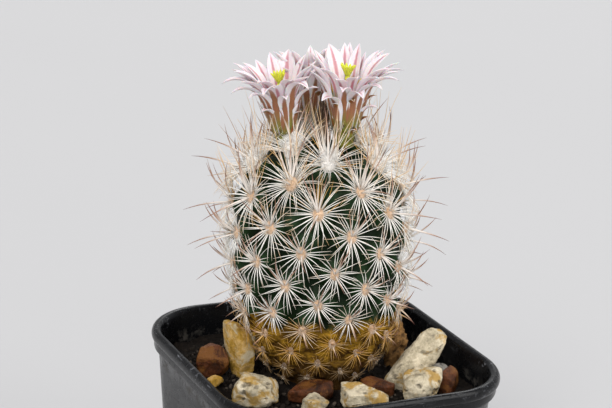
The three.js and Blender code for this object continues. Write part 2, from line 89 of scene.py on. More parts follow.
STEM_HEIGHT = 69.0
STEM_FOOT = np.array([0.7, 1.3, SOIL_TOP])
STEM_LEAN = math.radians(4.7)
STEM_LEAN_TOWARD = math.radians(135)
CORK_HEIGHT = 24.0
CORK_RAGGED = 3.5
CORK_BORDER = 8.0
CUSHION_TALLNESS = 1.35
FIRST_AREOLE_AREA = 140.0
YOUNG_TUBERCLE_AREA = 150.0
TUBERCLE_AREA_LOSS = 0.54
TUBERCLE_SPREAD = 0.62
FIRST_AREOLE_AZIMUTH = math.radians(65.7)
DIVERGENCE = math.radians(137.6)

# Outline of the stem through its tubercle tips, from the soil to the apex: radius, height
STEM_OUTLINE = np.array([
    (12, 0), (15.8, 5), (19.2, 11), (21.4, 17), (22.9, 23), (24, 31), (24.5, 40), (24.4, 47),
    (23.4, 53), (21.4, 58), (18.4, 62), (14.8, 65), (10.6, 67.2), (5.8, 68.5), (0, STEM_HEIGHT),
])

# Rings of the neck in the soil: radius and depth
NECK_RINGS = [(5, 10), (8, 5), (10.5, 1.5)]


# Small helpers for points and directions
def unit(vectors):
    """Vectors of length one in the same directions."""
    return vectors / np.maximum(np.linalg.norm(vectors, axis=-1, keepdims=True), 1e-12)


def smooth(value):
    """Smooth step: 3t squared minus 2t cubed, of a value held between 0 and 1."""
    t = np.clip(value, 0, 1)
    return t * t * (3 - 2 * t)


def turn_about(axis, angle):
    """Rotation matrix about a unit axis: identity, plus sine times the axis's cross matrix, plus
    one minus cosine times its square."""
    x, y, z = axis
    cross = np.array([(0, -z, y), (z, 0, -x), (-y, x, 0)])
    return np.eye(3) + math.sin(angle) * cross + (1 - math.cos(angle)) * cross @ cross


def tilt_toward(azimuth, angle):
    """Rotation that tips +Z toward an azimuth by an angle."""
    return turn_about(beside(azimuth), angle)


def circle(count):
    """Angles spaced evenly round a circle."""
    return 2 * np.pi * np.arange(count) / count


def polar(radius, azimuth, height):
    """Points at a distance from the Z axis, an azimuth and a height."""
    x, y = radius * np.cos(azimuth), radius * np.sin(azimuth)
    return np.stack(np.broadcast_arrays(x, y, height), axis=-1)


def beside(azimuth):
    """Level directions a quarter turn on from their azimuths."""
    return np.stack([-np.sin(azimuth), np.cos(azimuth), 0 * azimuth], axis=-1)


def between(first, second, angle):
    """Directions turned by an angle from one toward another, square to it: cosine times the first
    plus sine times the second."""
    return first * np.cos(angle)[..., None] + second * np.sin(angle)[..., None]


UP = np.array([0, 0, 1.0])
STEM_TURN = tilt_toward(STEM_LEAN_TOWARD, STEM_LEAN)


def on_stem(points):
    """Points of the stem's upright frame, leant over and set on the soil."""
    return points @ STEM_TURN.T + STEM_FOOT


LATTICE = np.random.default_rng(41).uniform(-1, 1, (32, 32, 32))


def lumps(points, size, octaves=3, shift=0.0):
    """Smooth random lumps between about -1 and 1: random values on a cubic lattice of a given
    size, blended by smooth steps, and summed over octaves of half the size and half the height."""
    total = np.zeros(points.shape[:-1])
    for octave in range(octaves):
        cell = points / size * 2 ** octave + 7.3 * octave + shift
        low = np.floor(cell).astype(int)
        t = smooth(cell - low)
        for corner in range(8):
            step = np.array([corner & 1, corner >> 1 & 1, corner >> 2])
            weight = np.prod(np.where(step, t, 1 - t), axis=-1)
            index = (low + step) % len(LATTICE)
            value = LATTICE[index[..., 0], index[..., 1], index[..., 2]]
            total += weight * value / 2 ** octave
    return total


def scatter(points, size, octaves, shifts):
    """Random shifts of points: lumps of a given size in each of the three directions."""
    return np.stack([lumps(points, size, octaves, shift) for shift in shifts], axis=-1)


# Objects and meshes
def in_scene(name, data):
    """A new object in the scene, at the origin."""
    made = bpy.data.objects.new(name, data)
    bpy.context.scene.collection.objects.link(made)
    return made


def settle(piece, replaces):
    """Says which body a piece rides on and hides the nodes it stands for."""
    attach(piece, "root")
    if replaces:
        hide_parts(*replaces)


def new_piece(name, points, faces, finish, replaces=(), values=None):
    """A smooth mesh object from points in millimetres and a list of face arrays, one array for
    each number of corners. values are named numbers for each point."""
    mesh = bpy.data.meshes.new(name)
    points = np.asarray(points, float).reshape(-1, 3)
    corners = np.concatenate([f.ravel() for f in faces]).astype(np.int32)
    sizes = np.concatenate([np.full(len(f), f.shape[1]) for f in faces])
    starts = np.concatenate([[0], np.cumsum(sizes)[:-1]]).astype(np.int32)
    mesh.vertices.add(len(points))
    mesh.vertices.foreach_set("co", (points * MM).astype(np.float32).ravel())
    mesh.loops.add(len(corners))
    mesh.loops.foreach_set("vertex_index", corners)
    mesh.polygons.add(len(sizes))
    mesh.polygons.foreach_set("loop_start", starts)
    mesh.polygons.foreach_set("use_smooth", np.ones(len(sizes), bool))
    mesh.update(calc_edges=True)
    for key, numbers in (values or {}).items():
        layer = mesh.attributes.new(key, "FLOAT", "POINT")
        layer.data.foreach_set("value", np.asarray(numbers, np.float32).ravel())
    mesh.validate()
    mesh.materials.append(finish.material)
    settle(in_scene(name, mesh), replaces)


def strip_faces(rows, columns):
    """Quads between rings that follow one another, each ring closing on itself."""
    row, column = np.meshgrid(np.arange(rows - 1), np.arange(columns), indexing="ij")
    low = row * columns + column
    following = row * columns + (column + 1) % columns
    return np.stack([low, following, following + columns, low + columns], axis=-1).reshape(-1, 4)


def ring_faces(count, rows, columns):
    """Faces of several closed bodies, each a stack of rings with a flat cap at both ends."""
    offsets = np.arange(count)[:, None, None] * rows * columns
    sides = (strip_faces(rows, columns)[None] + offsets).reshape(-1, 4)
    first = np.arange(columns)[::-1][None, None] + offsets
    last = np.arange(columns)[None, None] + (rows - 1) * columns + offsets
    caps = np.concatenate([first, last]).reshape(-1, columns)
    return [sides, caps] if columns != 4 else [np.concatenate([sides, caps])]


def tubes(paths, radii, sides):
    """Round strands: rings of a given radius about every point of every path, square to the path.
    paths is strands x steps x 3 and radii is strands x steps."""
    along = unit(np.gradient(paths, axis=1))
    whole = unit(paths[:, -1:] - paths[:, :1])
    upright = np.abs(whole[..., 2:]) < 0.85
    helper = np.where(upright, UP, np.array([1.0, 0, 0]))
    across = unit(np.cross(helper, along))
    other = np.cross(along, across)
    around = between(across[:, :, None], other[:, :, None], circle(sides))
    points = paths[:, :, None] + around * radii[:, :, None, None]
    return points.reshape(-1, 3), ring_faces(*paths.shape[:2], sides)


def join(parts):
    """One list of points and faces from several."""
    points, faces, start = [], {}, 0
    for part_points, part_faces in parts:
        part_points = part_points.reshape(-1, 3)
        points.append(part_points)
        for face in part_faces:
            faces.setdefault(face.shape[1], []).append(face + start)
        start += len(part_points)
    return np.concatenate(points), [np.concatenate(group) for group in faces.values()]


def spread(values, rings):
    """One number per path point, repeated for every point of its ring."""
    return np.repeat(np.asarray(values, float).ravel(), rings)


def domes(centres, axes, rows, columns):
    """Closed oval caps: an ellipsoid about each centre, along its own three half axes."""
    latitude = (np.linspace(0.04, 0.96, rows) * np.pi)[:, None]
    ball = polar(np.sin(latitude), circle(columns), -np.cos(latitude))
    points = centres[:, None, None] + ball @ np.stack(axes, axis=1)[:, None]
    return points.reshape(-1, 3), ring_faces(len(centres), rows, columns)


# Colours and finishes
def scaled(base, amount, lift=0.0):
    """A colour made lighter or darker."""
    return [min(amount * c + lift, 1) for c in base]


def blended(first, second, share):
    """A colour part of the way from one to another."""
    return [(1 - share) * a + share * b for a, b in zip(first, second)]


class Finish:
    """A node material that is put together one step at a time. Patterns read Object coordinates."""

    def __init__(self, name, **sockets):
        self.material = bpy.data.materials.new(name)
        self.material.use_nodes = True
        self.tree = self.material.node_tree
        self.shader = self.tree.nodes["Principled BSDF"]
        for socket, value in sockets.items():
            self.shader.inputs[socket.replace("_", " ").title().replace("Ior", "IOR")].default_value = value
        self.place = self.node("ShaderNodeTexCoord").outputs["Object"]

    def node(self, kind, inputs=None, **settings):
        """A new node with its settings, and its inputs linked or set."""
        made = self.tree.nodes.new(kind)
        for key, value in settings.items():
            setattr(made, key, value)
        for key, value in (inputs or {}).items():
            if isinstance(value, bpy.types.NodeSocket):
                self.tree.links.new(value, made.inputs[key])
            else:
                made.inputs[key].default_value = value
        return made

    def noise(self, size, detail=4, roughness=0.6, stretch=(1, 1, 1), distortion=0.0, place=None):
        """Cloudy noise whose features are about size metres wide, drawn out along the axes."""
        mapped = self.node("ShaderNodeMapping", {"Vector": place or self.place, "Scale": stretch})
        return self.node("ShaderNodeTexNoise", {
            "Vector": mapped.outputs[0], "Scale": 1 / size, "Detail": detail,
            "Roughness": roughness, "Distortion": distortion,
        }).outputs["Fac"]

    def cells(self, size):
        """Distances to scattered points about size metres apart."""
        made = self.node("ShaderNodeTexVoronoi", {"Vector": self.place, "Scale": 1 / size})
        return made.outputs["Distance"]

    def value(self, name):
        """A number kept at each point of the mesh."""
        return self.node("ShaderNodeAttribute", attribute_name=name).outputs["Fac"]

    def calc(self, operation, first, second=0.0, third=0.0):
        """One sum on two or three numbers."""
        made = self.node("ShaderNodeMath", {0: first, 1: second, 2: third}, operation=operation)
        return made.outputs[0]

    def times(self, first, second):
        """One number times another."""
        return self.calc("MULTIPLY", first, second)

    def plus(self, first, second):
        """One number plus another."""
        return self.calc("ADD", first, second)

    def minus(self, first, second):
        """One number less another."""
        return self.calc("SUBTRACT", first, second)

    def larger(self, first, second):
        """The larger of two numbers."""
        return self.calc("MAXIMUM", first, second)

    def remap(self, value, low, high, new_low=0.0, new_high=1.0):
        """A number carried smoothly from one range to another, and held there."""
        return self.node("ShaderNodeMapRange", {
            "Value": value, "From Min": low, "From Max": high, "To Min": new_low, "To Max": new_high,
        }, interpolation_type="SMOOTHSTEP").outputs["Result"]

    def ramp(self, value, stops):
        """Colours along a number: a list of place and colour."""
        made = self.node("ShaderNodeValToRGB", {"Fac": value})
        elements = made.color_ramp.elements
        for _ in stops[2:]:
            elements.new(0.5)
        for element, (place, colour) in zip(elements, stops):
            element.position = place
            element.color = (*colour[:3], 1)
        return made.outputs["Color"]

    def shades(self, value, base, *stops):
        """Shades of one colour along a number: the place of each, its amount and its lift."""
        return self.ramp(value, [(place, scaled(base, *shade)) for place, *shade in stops])

    def mix(self, amount, first, second, blend="MIX"):
        """Two colours mixed by a number."""
        made = self.node("ShaderNodeMix", data_type="RGBA", blend_type=blend)
        for index, value in ((0, amount), (6, first), (7, second)):
            if isinstance(value, bpy.types.NodeSocket):
                self.tree.links.new(value, made.inputs[index])
            elif index:
                made.inputs[index].default_value = (*value[:3], 1)
            else:
                made.inputs[index].default_value = value
        return made.outputs[2]

    def colour(self, value):
        """Sets the surface's colour."""
        self.tree.links.new(value, self.shader.inputs["Base Color"])

    def gloss(self, value):
        """Sets the surface's roughness."""
        self.tree.links.new(value, self.shader.inputs["Roughness"])

    def bump(self, height, depth, strength=1.0):
        """Raises the surface by a height pattern, depth metres from lowest to highest."""
        made = self.node("ShaderNodeBump", {"Height": height, "Distance": depth, "Strength": strength})
        previous = self.shader.inputs["Normal"].links
        if previous:
            self.tree.links.new(previous[0].from_socket, made.inputs["Normal"])
        self.tree.links.new(made.outputs[0], self.shader.inputs["Normal"])


# Sizes and colours that a user would change
def length(default, name, description):
    """A length property, with its default given in millimetres."""
    return bpy.props.FloatProperty(
        name=name, description=description, default=default * MM, min=0.0, subtype="DISTANCE",
        unit="LENGTH", precision=4,
    )


def colour(default, name, description):
    """A colour property."""
    return bpy.props.FloatVectorProperty(
        name=name, description=description, default=default, min=0.0, max=1.0, subtype="COLOR", size=3,
    )


def number(default, name, description, low=1):
    """A whole number property."""
    return bpy.props.IntProperty(name=name, description=description, default=default, min=low)


def angle(default, name, description):
    """An angle property, with its default given in degrees."""
    return bpy.props.FloatProperty(
        name=name, description=description, default=math.radians(default), subtype="ANGLE",
        unit="ROTATION",
    )


class PotSettings(bpy.types.PropertyGroup):
    plastic: colour((0.004, 0.0042, 0.005), "Plastic", "Colour of the black plastic")
    scuff: colour((0.3, 0.31, 0.34), "Scuff", "Colour of the scratches along the lip")
    lime: colour((0.22, 0.2, 0.17), "Lime", "Colour of the mineral film left by hard water")


class SoilSettings(bpy.types.PropertyGroup):
    earth: colour((0.009, 0.0065, 0.005), "Earth", "Colour of the wet potting mix")
    grit: colour((0.06, 0.046, 0.035), "Grit", "Colour of the palest grit grains")
    unevenness: length(0.85, "Unevenness", "Height of the lumps in the soil's surface")
    grains: number(2600, "Grains", "How many grains of grit lie on the soil")
    grain_size: length(1.5, "Grain Size", "Width of the largest grains")


class StemSettings(bpy.types.PropertyGroup):
    tubercle_depth: length(3.1, "Tubercle Depth", "From a tubercle's tip to the furrow beside it")
    areoles: number(106, "Areoles", "How many spine cushions the stem carries")
    # The furrow colour is painted shade: the skin darkened where it sinks between the tubercles
    furrow: colour((0.001, 0.0035, 0.001), "Furrow", "Skin colour between the tubercles")
    skin: colour((0.003, 0.0115, 0.002), "Skin", "Skin colour on the tubercles' flanks")
    bloom: colour((0.026, 0.058, 0.024), "Bloom", "Pale waxy bloom on the skin")
    cork: colour((0.33, 0.18, 0.015), "Cork", "Colour of the corky skin near the foot")
    bark: colour((0.06, 0.027, 0.007), "Bark", "Colour of the oldest skin at the soil")
    felt: colour((0.7, 0.46, 0.28), "Felt", "Colour of the felt in the spine cushions")


class SpineSettings(bpy.types.PropertyGroup):
    radials: number(25, "Radials", "Spines in the star of each cushion")
    radial_length: length(8.6, "Radial Length", "Length of a full-grown radial spine")
    radial_thickness: length(0.235, "Radial Thickness", "Thickness of a radial spine at its foot")
    central_length: length(11.5, "Central Length", "Length of a full-grown central spine")
    central_thickness: length(0.54, "Central Thickness", "Thickness of a central spine at its foot")
    crown_length: length(20.0, "Crown Length", "Length of the longest spines round the flowers")
    white: colour((0.95, 0.93, 0.88), "White", "Colour of the radial spines")
    amber: colour((0.64, 0.34, 0.045), "Amber", "Colour of young tips and old spines")
    horn: colour((0.38, 0.22, 0.14), "Horn", "Colour of the central spines")
    dark: colour((0.115, 0.035, 0.03), "Dark", "Colour of the central spines' tips")


class FlowerSettings(bpy.types.PropertyGroup):
    petal: colour((0.8, 0.73, 0.77), "Petal", "Pale colour of the tepals")
    stripe: colour((0.5, 0.19, 0.23), "Stripe", "Colour of the stripe along the middle of a tepal")
    midrib: colour((0.27, 0.088, 0.018), "Midrib", "Colour of the rib on the back of an outer tepal")
    tube: colour((0.2, 0.2, 0.025), "Tube", "Colour of the flower tube and its scales")
    anther: colour((0.85, 0.56, 0.1), "Anther", "Colour of the pollen")
    stigma: colour((0.68, 0.72, 0.02), "Stigma", "Colour of the stigma lobes")
    outer_width: length(3.5, "Outer Width", "Width of an outer tepal")
    inner_width: length(3.6, "Inner Width", "Width of an inner tepal")


class StoneSettings(bpy.types.PropertyGroup):
    cream: colour((0.5, 0.43, 0.3), "Cream", "Pale colour of the limestone")
    ochre: colour((0.42, 0.24, 0.035), "Ochre", "Colour of the stains and of the ochre stones")
    red: colour((0.046, 0.013, 0.003), "Red", "Colour of the red-brown shards")
    brown: colour((0.2, 0.105, 0.035), "Brown", "Colour of the crumbly chips")


class StageSettings(bpy.types.PropertyGroup):
    floor: colour((0.5, 0.5, 0.51), "Floor", "Colour of the floor")
    lens: bpy.props.FloatProperty(
        name="Lens", description="Focal length of the camera", default=105.0, subtype="DISTANCE_CAMERA",
    )
    distance: length(487.7, "Distance", "From the camera to the plant")
    pitch: angle(17.49, "Pitch", "How far the camera looks down")
    yaw: angle(26.27, "Yaw", "How far the camera's view is turned from +Y toward +X")
    roll: angle(3.29, "Roll", "How far the camera is rolled")
    light: bpy.props.FloatProperty(
        name="Light", description="Strength of the studio lights", default=1.0, min=0.0,
    )


# Stem
def stem_table(steps=420):
    """Outline of the stem from the apex down: radius, height, and the skin's area and length above.
    The outline is a Catmull-Rom curve through the listed points, sampled evenly by its length; the
    area grows by pi times the sum of two neighbouring radii times the step between them."""
    points = STEM_OUTLINE
    last = len(points) - 1
    t = np.linspace(0, last, 40 * last + 1)
    index = np.minimum(t.astype(int), last - 1)
    w = (t - index)[:, None]
    p0, p1 = points[np.maximum(index - 1, 0)], points[index]
    p2, p3 = points[index + 1], points[np.minimum(index + 2, last)]
    v1, v2 = (p2 - p0) / 2, (p3 - p1) / 2
    curve = (2 * p1 - 2 * p2 + v1 + v2) * w ** 3 + (-3 * p1 + 3 * p2 - 2 * v1 - v2) * w ** 2 + v1 * w + p1
    curve = curve[::-1]
    run = np.concatenate([[0], np.cumsum(np.linalg.norm(np.diff(curve, axis=0), axis=1))])
    even = np.linspace(0, run[-1], steps)
    radius = np.maximum(np.interp(even, run, curve[:, 0]), 0)
    height = np.interp(even, run, curve[:, 1])
    step = np.hypot(np.diff(radius), np.diff(height))
    area = np.concatenate([[0], np.cumsum(np.pi * (radius[1:] + radius[:-1]) * step)])
    slope = np.arctan2(np.gradient(radius), -np.gradient(height))
    return {"radius": radius, "height": height, "area": area, "length": even, "slope": slope}


SKIN = stem_table()


def skin_at(key, values):
    """Radius, height, length and slope of the outline where its area or length has given values."""
    return {name: np.interp(values, SKIN[key], SKIN[name]) for name in SKIN}


def outward(azimuth, slope):
    """Direction square to the skin: the azimuth's direction, raised by the slope."""
    return polar(np.cos(slope), azimuth, np.sin(slope))


def areole_places(count):
    """The golden spiral of areoles: the skin area above areole i is 140 + 150 i - 0.54 i squared, and
    its azimuth grows by 137.6 degrees from each to the next. Each has its point and three
    directions: out of the skin, round the stem to the right, and up along the skin."""
    i = np.arange(count)
    area = FIRST_AREOLE_AREA + YOUNG_TUBERCLE_AREA * i - TUBERCLE_AREA_LOSS * i * i
    place = skin_at("area", area)
    azimuth = FIRST_AREOLE_AZIMUTH + DIVERGENCE * i
    out = outward(azimuth, place["slope"])
    right = beside(azimuth)
    tip = polar(place["radius"], azimuth, place["height"])
    share = YOUNG_TUBERCLE_AREA - 2 * TUBERCLE_AREA_LOSS * i
    return {**place, "azimuth": azimuth, "out": out, "right": right, "up": np.cross(out, right),
            "tip": tip, "spread": TUBERCLE_SPREAD * np.sqrt(share), "rank": i}


def tubercle_height(azimuth, length, radius, areoles):
    """Height of the skin between a furrow, 0, and a tubercle's tip, 1: a cone with a rounded top,
    one minus the distance to the nearest areole as a share of its spread, and smoothed."""
    best = np.zeros(azimuth.shape)
    for i in range(len(areoles["rank"])):
        turn = azimuth - areoles["azimuth"][i]
        turn = np.arctan2(np.sin(turn), np.cos(turn))
        across = turn * np.minimum(radius, areoles["radius"][i])
        near = np.hypot(across, length - areoles["length"][i]) / areoles["spread"][i]
        cone = 1 - np.sqrt(near ** 2 + 0.02) + 0.1
        best = np.maximum(best, 0.45 * smooth(1 - near) + 0.55 * np.clip(cone, 0, 1))
    return best


def cork_amount(height, ripple):
    """How corky the skin is, from 0 on green skin to 1 at the foot, with an uneven border."""
    return smooth((CORK_HEIGHT + CORK_RAGGED * ripple - height) / CORK_BORDER)


def stem_piece(name, points, faces, finish, values, replaces=()):
    """A piece of the stem, carried from its upright frame to its place."""
    new_piece(name, on_stem(points), faces, finish, replaces, values)


def stem_skin(settings):
    """The stem's skin: the outline turned about its axis, drawn in at the furrows, with a neck that
    goes down into the soil. Near the foot the tubercles sink into wrinkled cork."""
    columns, rows = 330, 230
    areoles = areole_places(settings.areoles)
    total = SKIN["length"][-1]
    length = np.linspace(total, total * 0.002, rows)
    place = skin_at("length", length)
    azimuth, run = np.meshgrid(circle(columns), length)
    radius, height, slope = (np.repeat(place[k][:, None], columns, 1) for k in ("radius", "height", "slope"))
    bump = tubercle_height(azimuth, run, radius, areoles)
    base = polar(radius, azimuth, height)
    ripple = lumps(base, 7.0)
    cork = cork_amount(height, ripple)
    depth = settings.tubercle_depth / MM * (1 - 0.45 * cork)
    folds = lumps(base * (1, 1, 2.4), 2.8, 4, 3.1) + 0.6 * lumps(base * (1, 1, 0.35), 1.5, 2, 6.2)
    inset = depth * (1 - bump) + cork * (0.5 + 0.75 * folds)
    inset = inset + 0.1 * lumps(base, 1.3, 2, 9.0)
    points = base - outward(azimuth, slope) * inset[..., None]
    neck = np.array([polar(ring, azimuth[0], -depth) for ring, depth in NECK_RINGS])
    points = np.concatenate([neck, points])
    low = np.zeros(neck.shape[:2])
    values = {
        "bump": np.concatenate([low, bump]),
        "cork": np.concatenate([low + 1, cork]),
        "height": np.concatenate([low, height / STEM_HEIGHT]),
    }
    faces = ring_faces(1, len(points), columns)
    stem_piece("stem_skin", points, faces, stem_finish(settings), values, ["stem"])


def stem_finish(settings):
    """Waxy green skin that turns to ochre cork and then bark toward the foot. Skin and cork are
    darkened in the furrows between the tubercles as painted shade.
    """
    look = Finish("Waxy Skin", roughness=0.5, specular_ior_level=0.07)
    bump, cork, height = look.value("bump"), look.value("cork"), look.value("height")
    cloud = look.noise(0.006, 5)
    fine = look.noise(0.0011, 4)
    # Painted shade: the skin darkens to the furrow colour where the tubercles sink, and pales to the bloom on
    # their tips
    tone = look.plus(look.times(bump, 0.8), look.times(fine, 0.25))
    green = look.ramp(tone, [(0.05, settings.furrow), (0.5, settings.skin), (0.95, settings.bloom)])
    green = look.mix(look.remap(cloud, 0.48, 0.7, 0.0, 0.55), green, settings.bloom)
    dots = look.remap(look.cells(0.00055), 0.0, 0.3, 0.32, 0.0)
    green = look.mix(dots, green, settings.bloom)
    rust = look.noise(0.0028, 6, 0.65, (1, 1, 1.6))
    corky = look.ramp(rust, [
        (0.34, settings.bark), (0.45, scaled(settings.cork, 0.5)), (0.55, settings.cork),
        (0.72, scaled(settings.cork, 1.3, 0.03)),
    ])
    ragged = look.plus(height, look.times(look.minus(cloud, 0.5), 0.12))
    corky = look.mix(look.remap(ragged, 0.22, 0.06, 0.0, 0.85), corky, settings.bark)
    fibres = look.noise(0.0009, 4, 0.6, (1.5, 1.5, 0.3))
    fibres = look.times(look.remap(fibres, 0.56, 0.7), look.remap(ragged, 0.13, 0.05))
    corky = look.mix(look.times(fibres, 0.6), corky, (0.3, 0.25, 0.19))
    wrinkle = look.noise(0.0013, 5, 0.65, (0.4, 0.4, 1.8), 0.5)
    corky = look.mix(look.remap(wrinkle, 0.52, 0.36, 0.0, 0.7), corky, settings.bark)
    # Painted shade: the cork darkens toward bark in the furrows between the tubercles
    corky = look.mix(look.remap(bump, 0.5, 0.05, 0.0, 0.65), corky, settings.bark)
    edge = look.plus(cork, look.times(look.minus(rust, 0.5), 0.7))
    edge = look.remap(edge, 0.3, 0.62)
    look.colour(look.mix(edge, green, corky))
    look.gloss(look.remap(cork, 0.0, 0.6, 0.46, 0.82))
    look.bump(fine, 0.00016, 0.7)
    look.bump(look.times(look.plus(rust, wrinkle), cork), 0.0009, 0.9)
    return look


# How areoles change from the crown, rank 0, down to the foot: ranks, and the values there
CUSHION_WIDTH = [0, 7, 10, 55, 85, 106], [2.3, 2.0, 1.5, 1.25, 0.8, 0.5]
CUSHION_SWELL = [6, 10], [0.95, 0.5]
RADIAL_NUMBER = [0, 10, 18, 30, 60, 74, 90], [2.2, 2.0, 1.35, 1.0, 1.0, 0.95, 0.7]
RADIAL_GROWTH = (
    [0, 12, 18, 26, 38, 52, 64, 78, 92, 106],
    [1.15, 1.1, 1.04, 0.9, 0.77, 0.68, 0.56, 0.48, 0.34, 0.24],
)
RADIAL_STANDING = [0, 3, 8, 16], [0.8, 0.4, 0.2, 0.0]
RADIAL_STOUTNESS = [6, 16, 50, 68], [0.72, 1.0, 1.0, 0.5]
RADIAL_TIP = [0, 26, 44, 80], [1.0, 0.8, 0.2, 0.5]
CENTRAL_GROWTH = [0, 18, 27, 42, 58, 70, 84], [1.3, 1.25, 0.98, 0.86, 0.62, 0.38, 0.24]
CENTRAL_STOUTNESS = [0, 50, 75, 84], [1.05, 0.95, 0.6, 0.5]
CROWN_NUMBER = [0, 9, 23], [26, 22, 6]
CROWN_GROWTH = [0, 10, 24], [0.95, 1.0, 0.62]
WOOL_NUMBER = [0, 7, 10, 106], [200, 150, 24, 18]
WOOL_GROWTH = [0, 7, 10, 106], [1.25, 0.9, 0.4, 0.25]
LAST_WITH_CENTRALS = 84
CROWN_AREOLES = 24
GOLDEN_SHARE = 0.6
SPINE_TIP = 0.018


def cushion_width(rank):
    """Half the width of a felt cushion: less on the oldest areoles."""
    return np.interp(rank, *CUSHION_WIDTH)


def swelling(rank):
    """Height of a felt cushion as a share of its half width: the youngest are plump."""
    return np.interp(rank, *CUSHION_SWELL)


def cushions(settings):
    """Areole felt: an oval dome on each tubercle's tip, taller than wide."""
    areoles = areole_places(settings.areoles)
    random = np.random.default_rng(12)
    count = settings.areoles
    size = cushion_width(areoles["rank"]) * random.uniform(0.92, 1.08, count)
    centre = areoles["tip"] - areoles["out"] * 0.3
    halves = {"right": size, "up": CUSHION_TALLNESS * size, "out": 0.3 + size * swelling(areoles["rank"])}
    axes = [areoles[key] * half[:, None] for key, half in halves.items()]
    rows, columns = 7, 14
    points, faces = domes(centre, axes, rows, columns)
    points = points + 0.16 * scatter(points, 0.8, 2, (0, 5, 11))
    age = spread(areoles["rank"] / count, rows * columns)
    look = Finish("Felt Cushion", roughness=0.95, sheen_weight=0.5)
    wool = look.noise(0.0005, 5, 0.7)
    tan = look.shades(wool, settings.felt, (0.3, 0.55), (0.52, 1), (0.72, 0.5, 0.45))
    young = look.remap(look.value("age"), 0.085, 0.06)
    old = look.remap(look.value("age"), 0.62, 0.85)
    tan = look.mix(young, tan, (0.92, 0.88, 0.83))
    look.colour(look.mix(old, tan, (0.17, 0.1, 0.05)))
    look.bump(wool, 0.0005)
    stem_piece("areole_felt", points, faces, look, {"age": age})


# Spines
def repeated(areoles, per):
    """The areoles' values, once for each of the spines or fibres that each one carries."""
    return {key: np.repeat(values, per, axis=0) for key, values in areoles.items()}


def strand_values(count, steps, sides, **numbers):
    """Values at the points of count tubes: along grows from 0 at the foot to 1 at the tip, and each
    of the others is one number for a whole tube."""
    along = np.tile(np.linspace(0, 1, steps + 1), count)
    others = {key: spread(value, sides * (steps + 1)) for key, value in numbers.items()}
    return {"along": spread(along, sides), **others}


def arching(roots, directions, lifts, lengths, first, last, steps, sweep=0.0):
    """Paths that start at an angle first above the skin and end at an angle last, and turn sideways by
    sweep on the way: at each step the heading is cosine of the angle along the skin plus sine of it
    out of the skin, and the headings at the middles of the steps are summed up."""
    lifts = np.broadcast_to(lifts, roots.shape)
    t = (np.arange(steps) + 0.5) / steps
    angle = first[:, None] + (last - first)[:, None] * t
    swing = np.broadcast_to(np.asarray(sweep, float), (len(roots),))[:, None] * t
    side = unit(np.cross(lifts, directions))
    flat = between(directions[:, None], side[:, None], swing)
    heading = between(flat, lifts[:, None], angle)
    moves = heading * (lengths / steps)[:, None, None]
    return np.concatenate([roots[:, None], roots[:, None] + np.cumsum(moves, axis=1)], axis=1)


def spine_radii(thickness, steps, sharpness=1.6):
    """Radius along a spine, from its foot to its fine tip: one minus t to a power."""
    t = np.linspace(0, 1, steps + 1)
    return thickness[:, None] / 2 * (1 - t ** sharpness) + SPINE_TIP


def spine_finish(name, settings, base):
    """Horny spines: each with its own tint, darker or amber toward the tip."""
    look = Finish(name, roughness=0.42, specular_ior_level=0.45)
    along, tint, tip = look.value("along"), look.value("tint"), look.value("tip")
    bands = look.noise(0.0007, 3, 0.6)
    body = look.ramp(tint, [
        (0.0, base), (0.4, scaled(base, 0.93)),
        (0.7, blended(base, settings.amber, 0.5)), (1.0, settings.amber),
    ])
    body = look.mix(look.remap(bands, 0.35, 0.65, 0.06, 0.0), body, settings.horn)
    return look, along, tip, body


def radial_spines(settings, areoles):
    """Stars of thin white spines that start at the rim of every cushion and press toward the skin.
    The youngest cushions carry the most, and theirs stand up."""
    random = np.random.default_rng(23)
    count = len(areoles["rank"])
    per = np.round(settings.radials * np.interp(areoles["rank"], *RADIAL_NUMBER)).astype(int)
    total = per.sum()
    spot = repeated(areoles, per)
    rank, out = spot["rank"], spot["out"]
    place = np.arange(total) - np.repeat(np.cumsum(per) - per, per)
    turn = 2 * np.pi * place / np.repeat(per, per) + random.normal(0, 0.05, total)
    turn = turn + np.repeat(random.uniform(0, 1, count), per)
    flat = between(spot["right"], spot["up"], turn)
    rim = 0.88 * cushion_width(rank) * np.hypot(np.cos(turn), CUSHION_TALLNESS * np.sin(turn))
    roots = spot["tip"] + flat * rim[:, None] + out * random.uniform(-0.1, 0.25, total)[:, None]
    grown = np.interp(rank, *RADIAL_GROWTH)
    length = settings.radial_length / MM * grown * random.uniform(0.8, 1.1, total)
    standing = np.interp(rank, *RADIAL_STANDING)
    first = np.radians(24 + 32 * standing) + random.normal(0, 0.08, total)
    last = np.radians(2 + 34 * standing) + random.normal(0, 0.12, total)
    steps = 4
    sweep = random.normal(0, 0.2, total) - 0.25 * np.cos(turn)
    paths = arching(roots, flat, out, length, first, last, steps, sweep)
    thickness = settings.radial_thickness / MM * random.uniform(0.8, 1.1, total)
    thickness = thickness * np.interp(rank, *RADIAL_STOUTNESS)
    points, faces = tubes(paths, spine_radii(thickness, steps), 4)
    low = np.interp(rank, [54, 68], [0, 1])
    tint = np.clip(0.3 * random.random(total) + 0.85 * low, 0, 1)
    tip = np.interp(rank, *RADIAL_TIP) * random.uniform(0.2, 1, total)
    old = np.interp(rank, [78, 94], [0, 0.85])
    values = strand_values(total, steps, 4, tint=tint, tip=tip, old=old)
    look, along, tip_value, body = spine_finish("White Spine", settings, settings.white)
    amber = look.times(look.remap(along, 0.5, 0.9), tip_value)
    body = look.mix(amber, body, settings.amber)
    look.colour(look.mix(look.value("old"), body, (0.17, 0.12, 0.075)))
    stem_piece("radial_spines", points, faces, look, values)


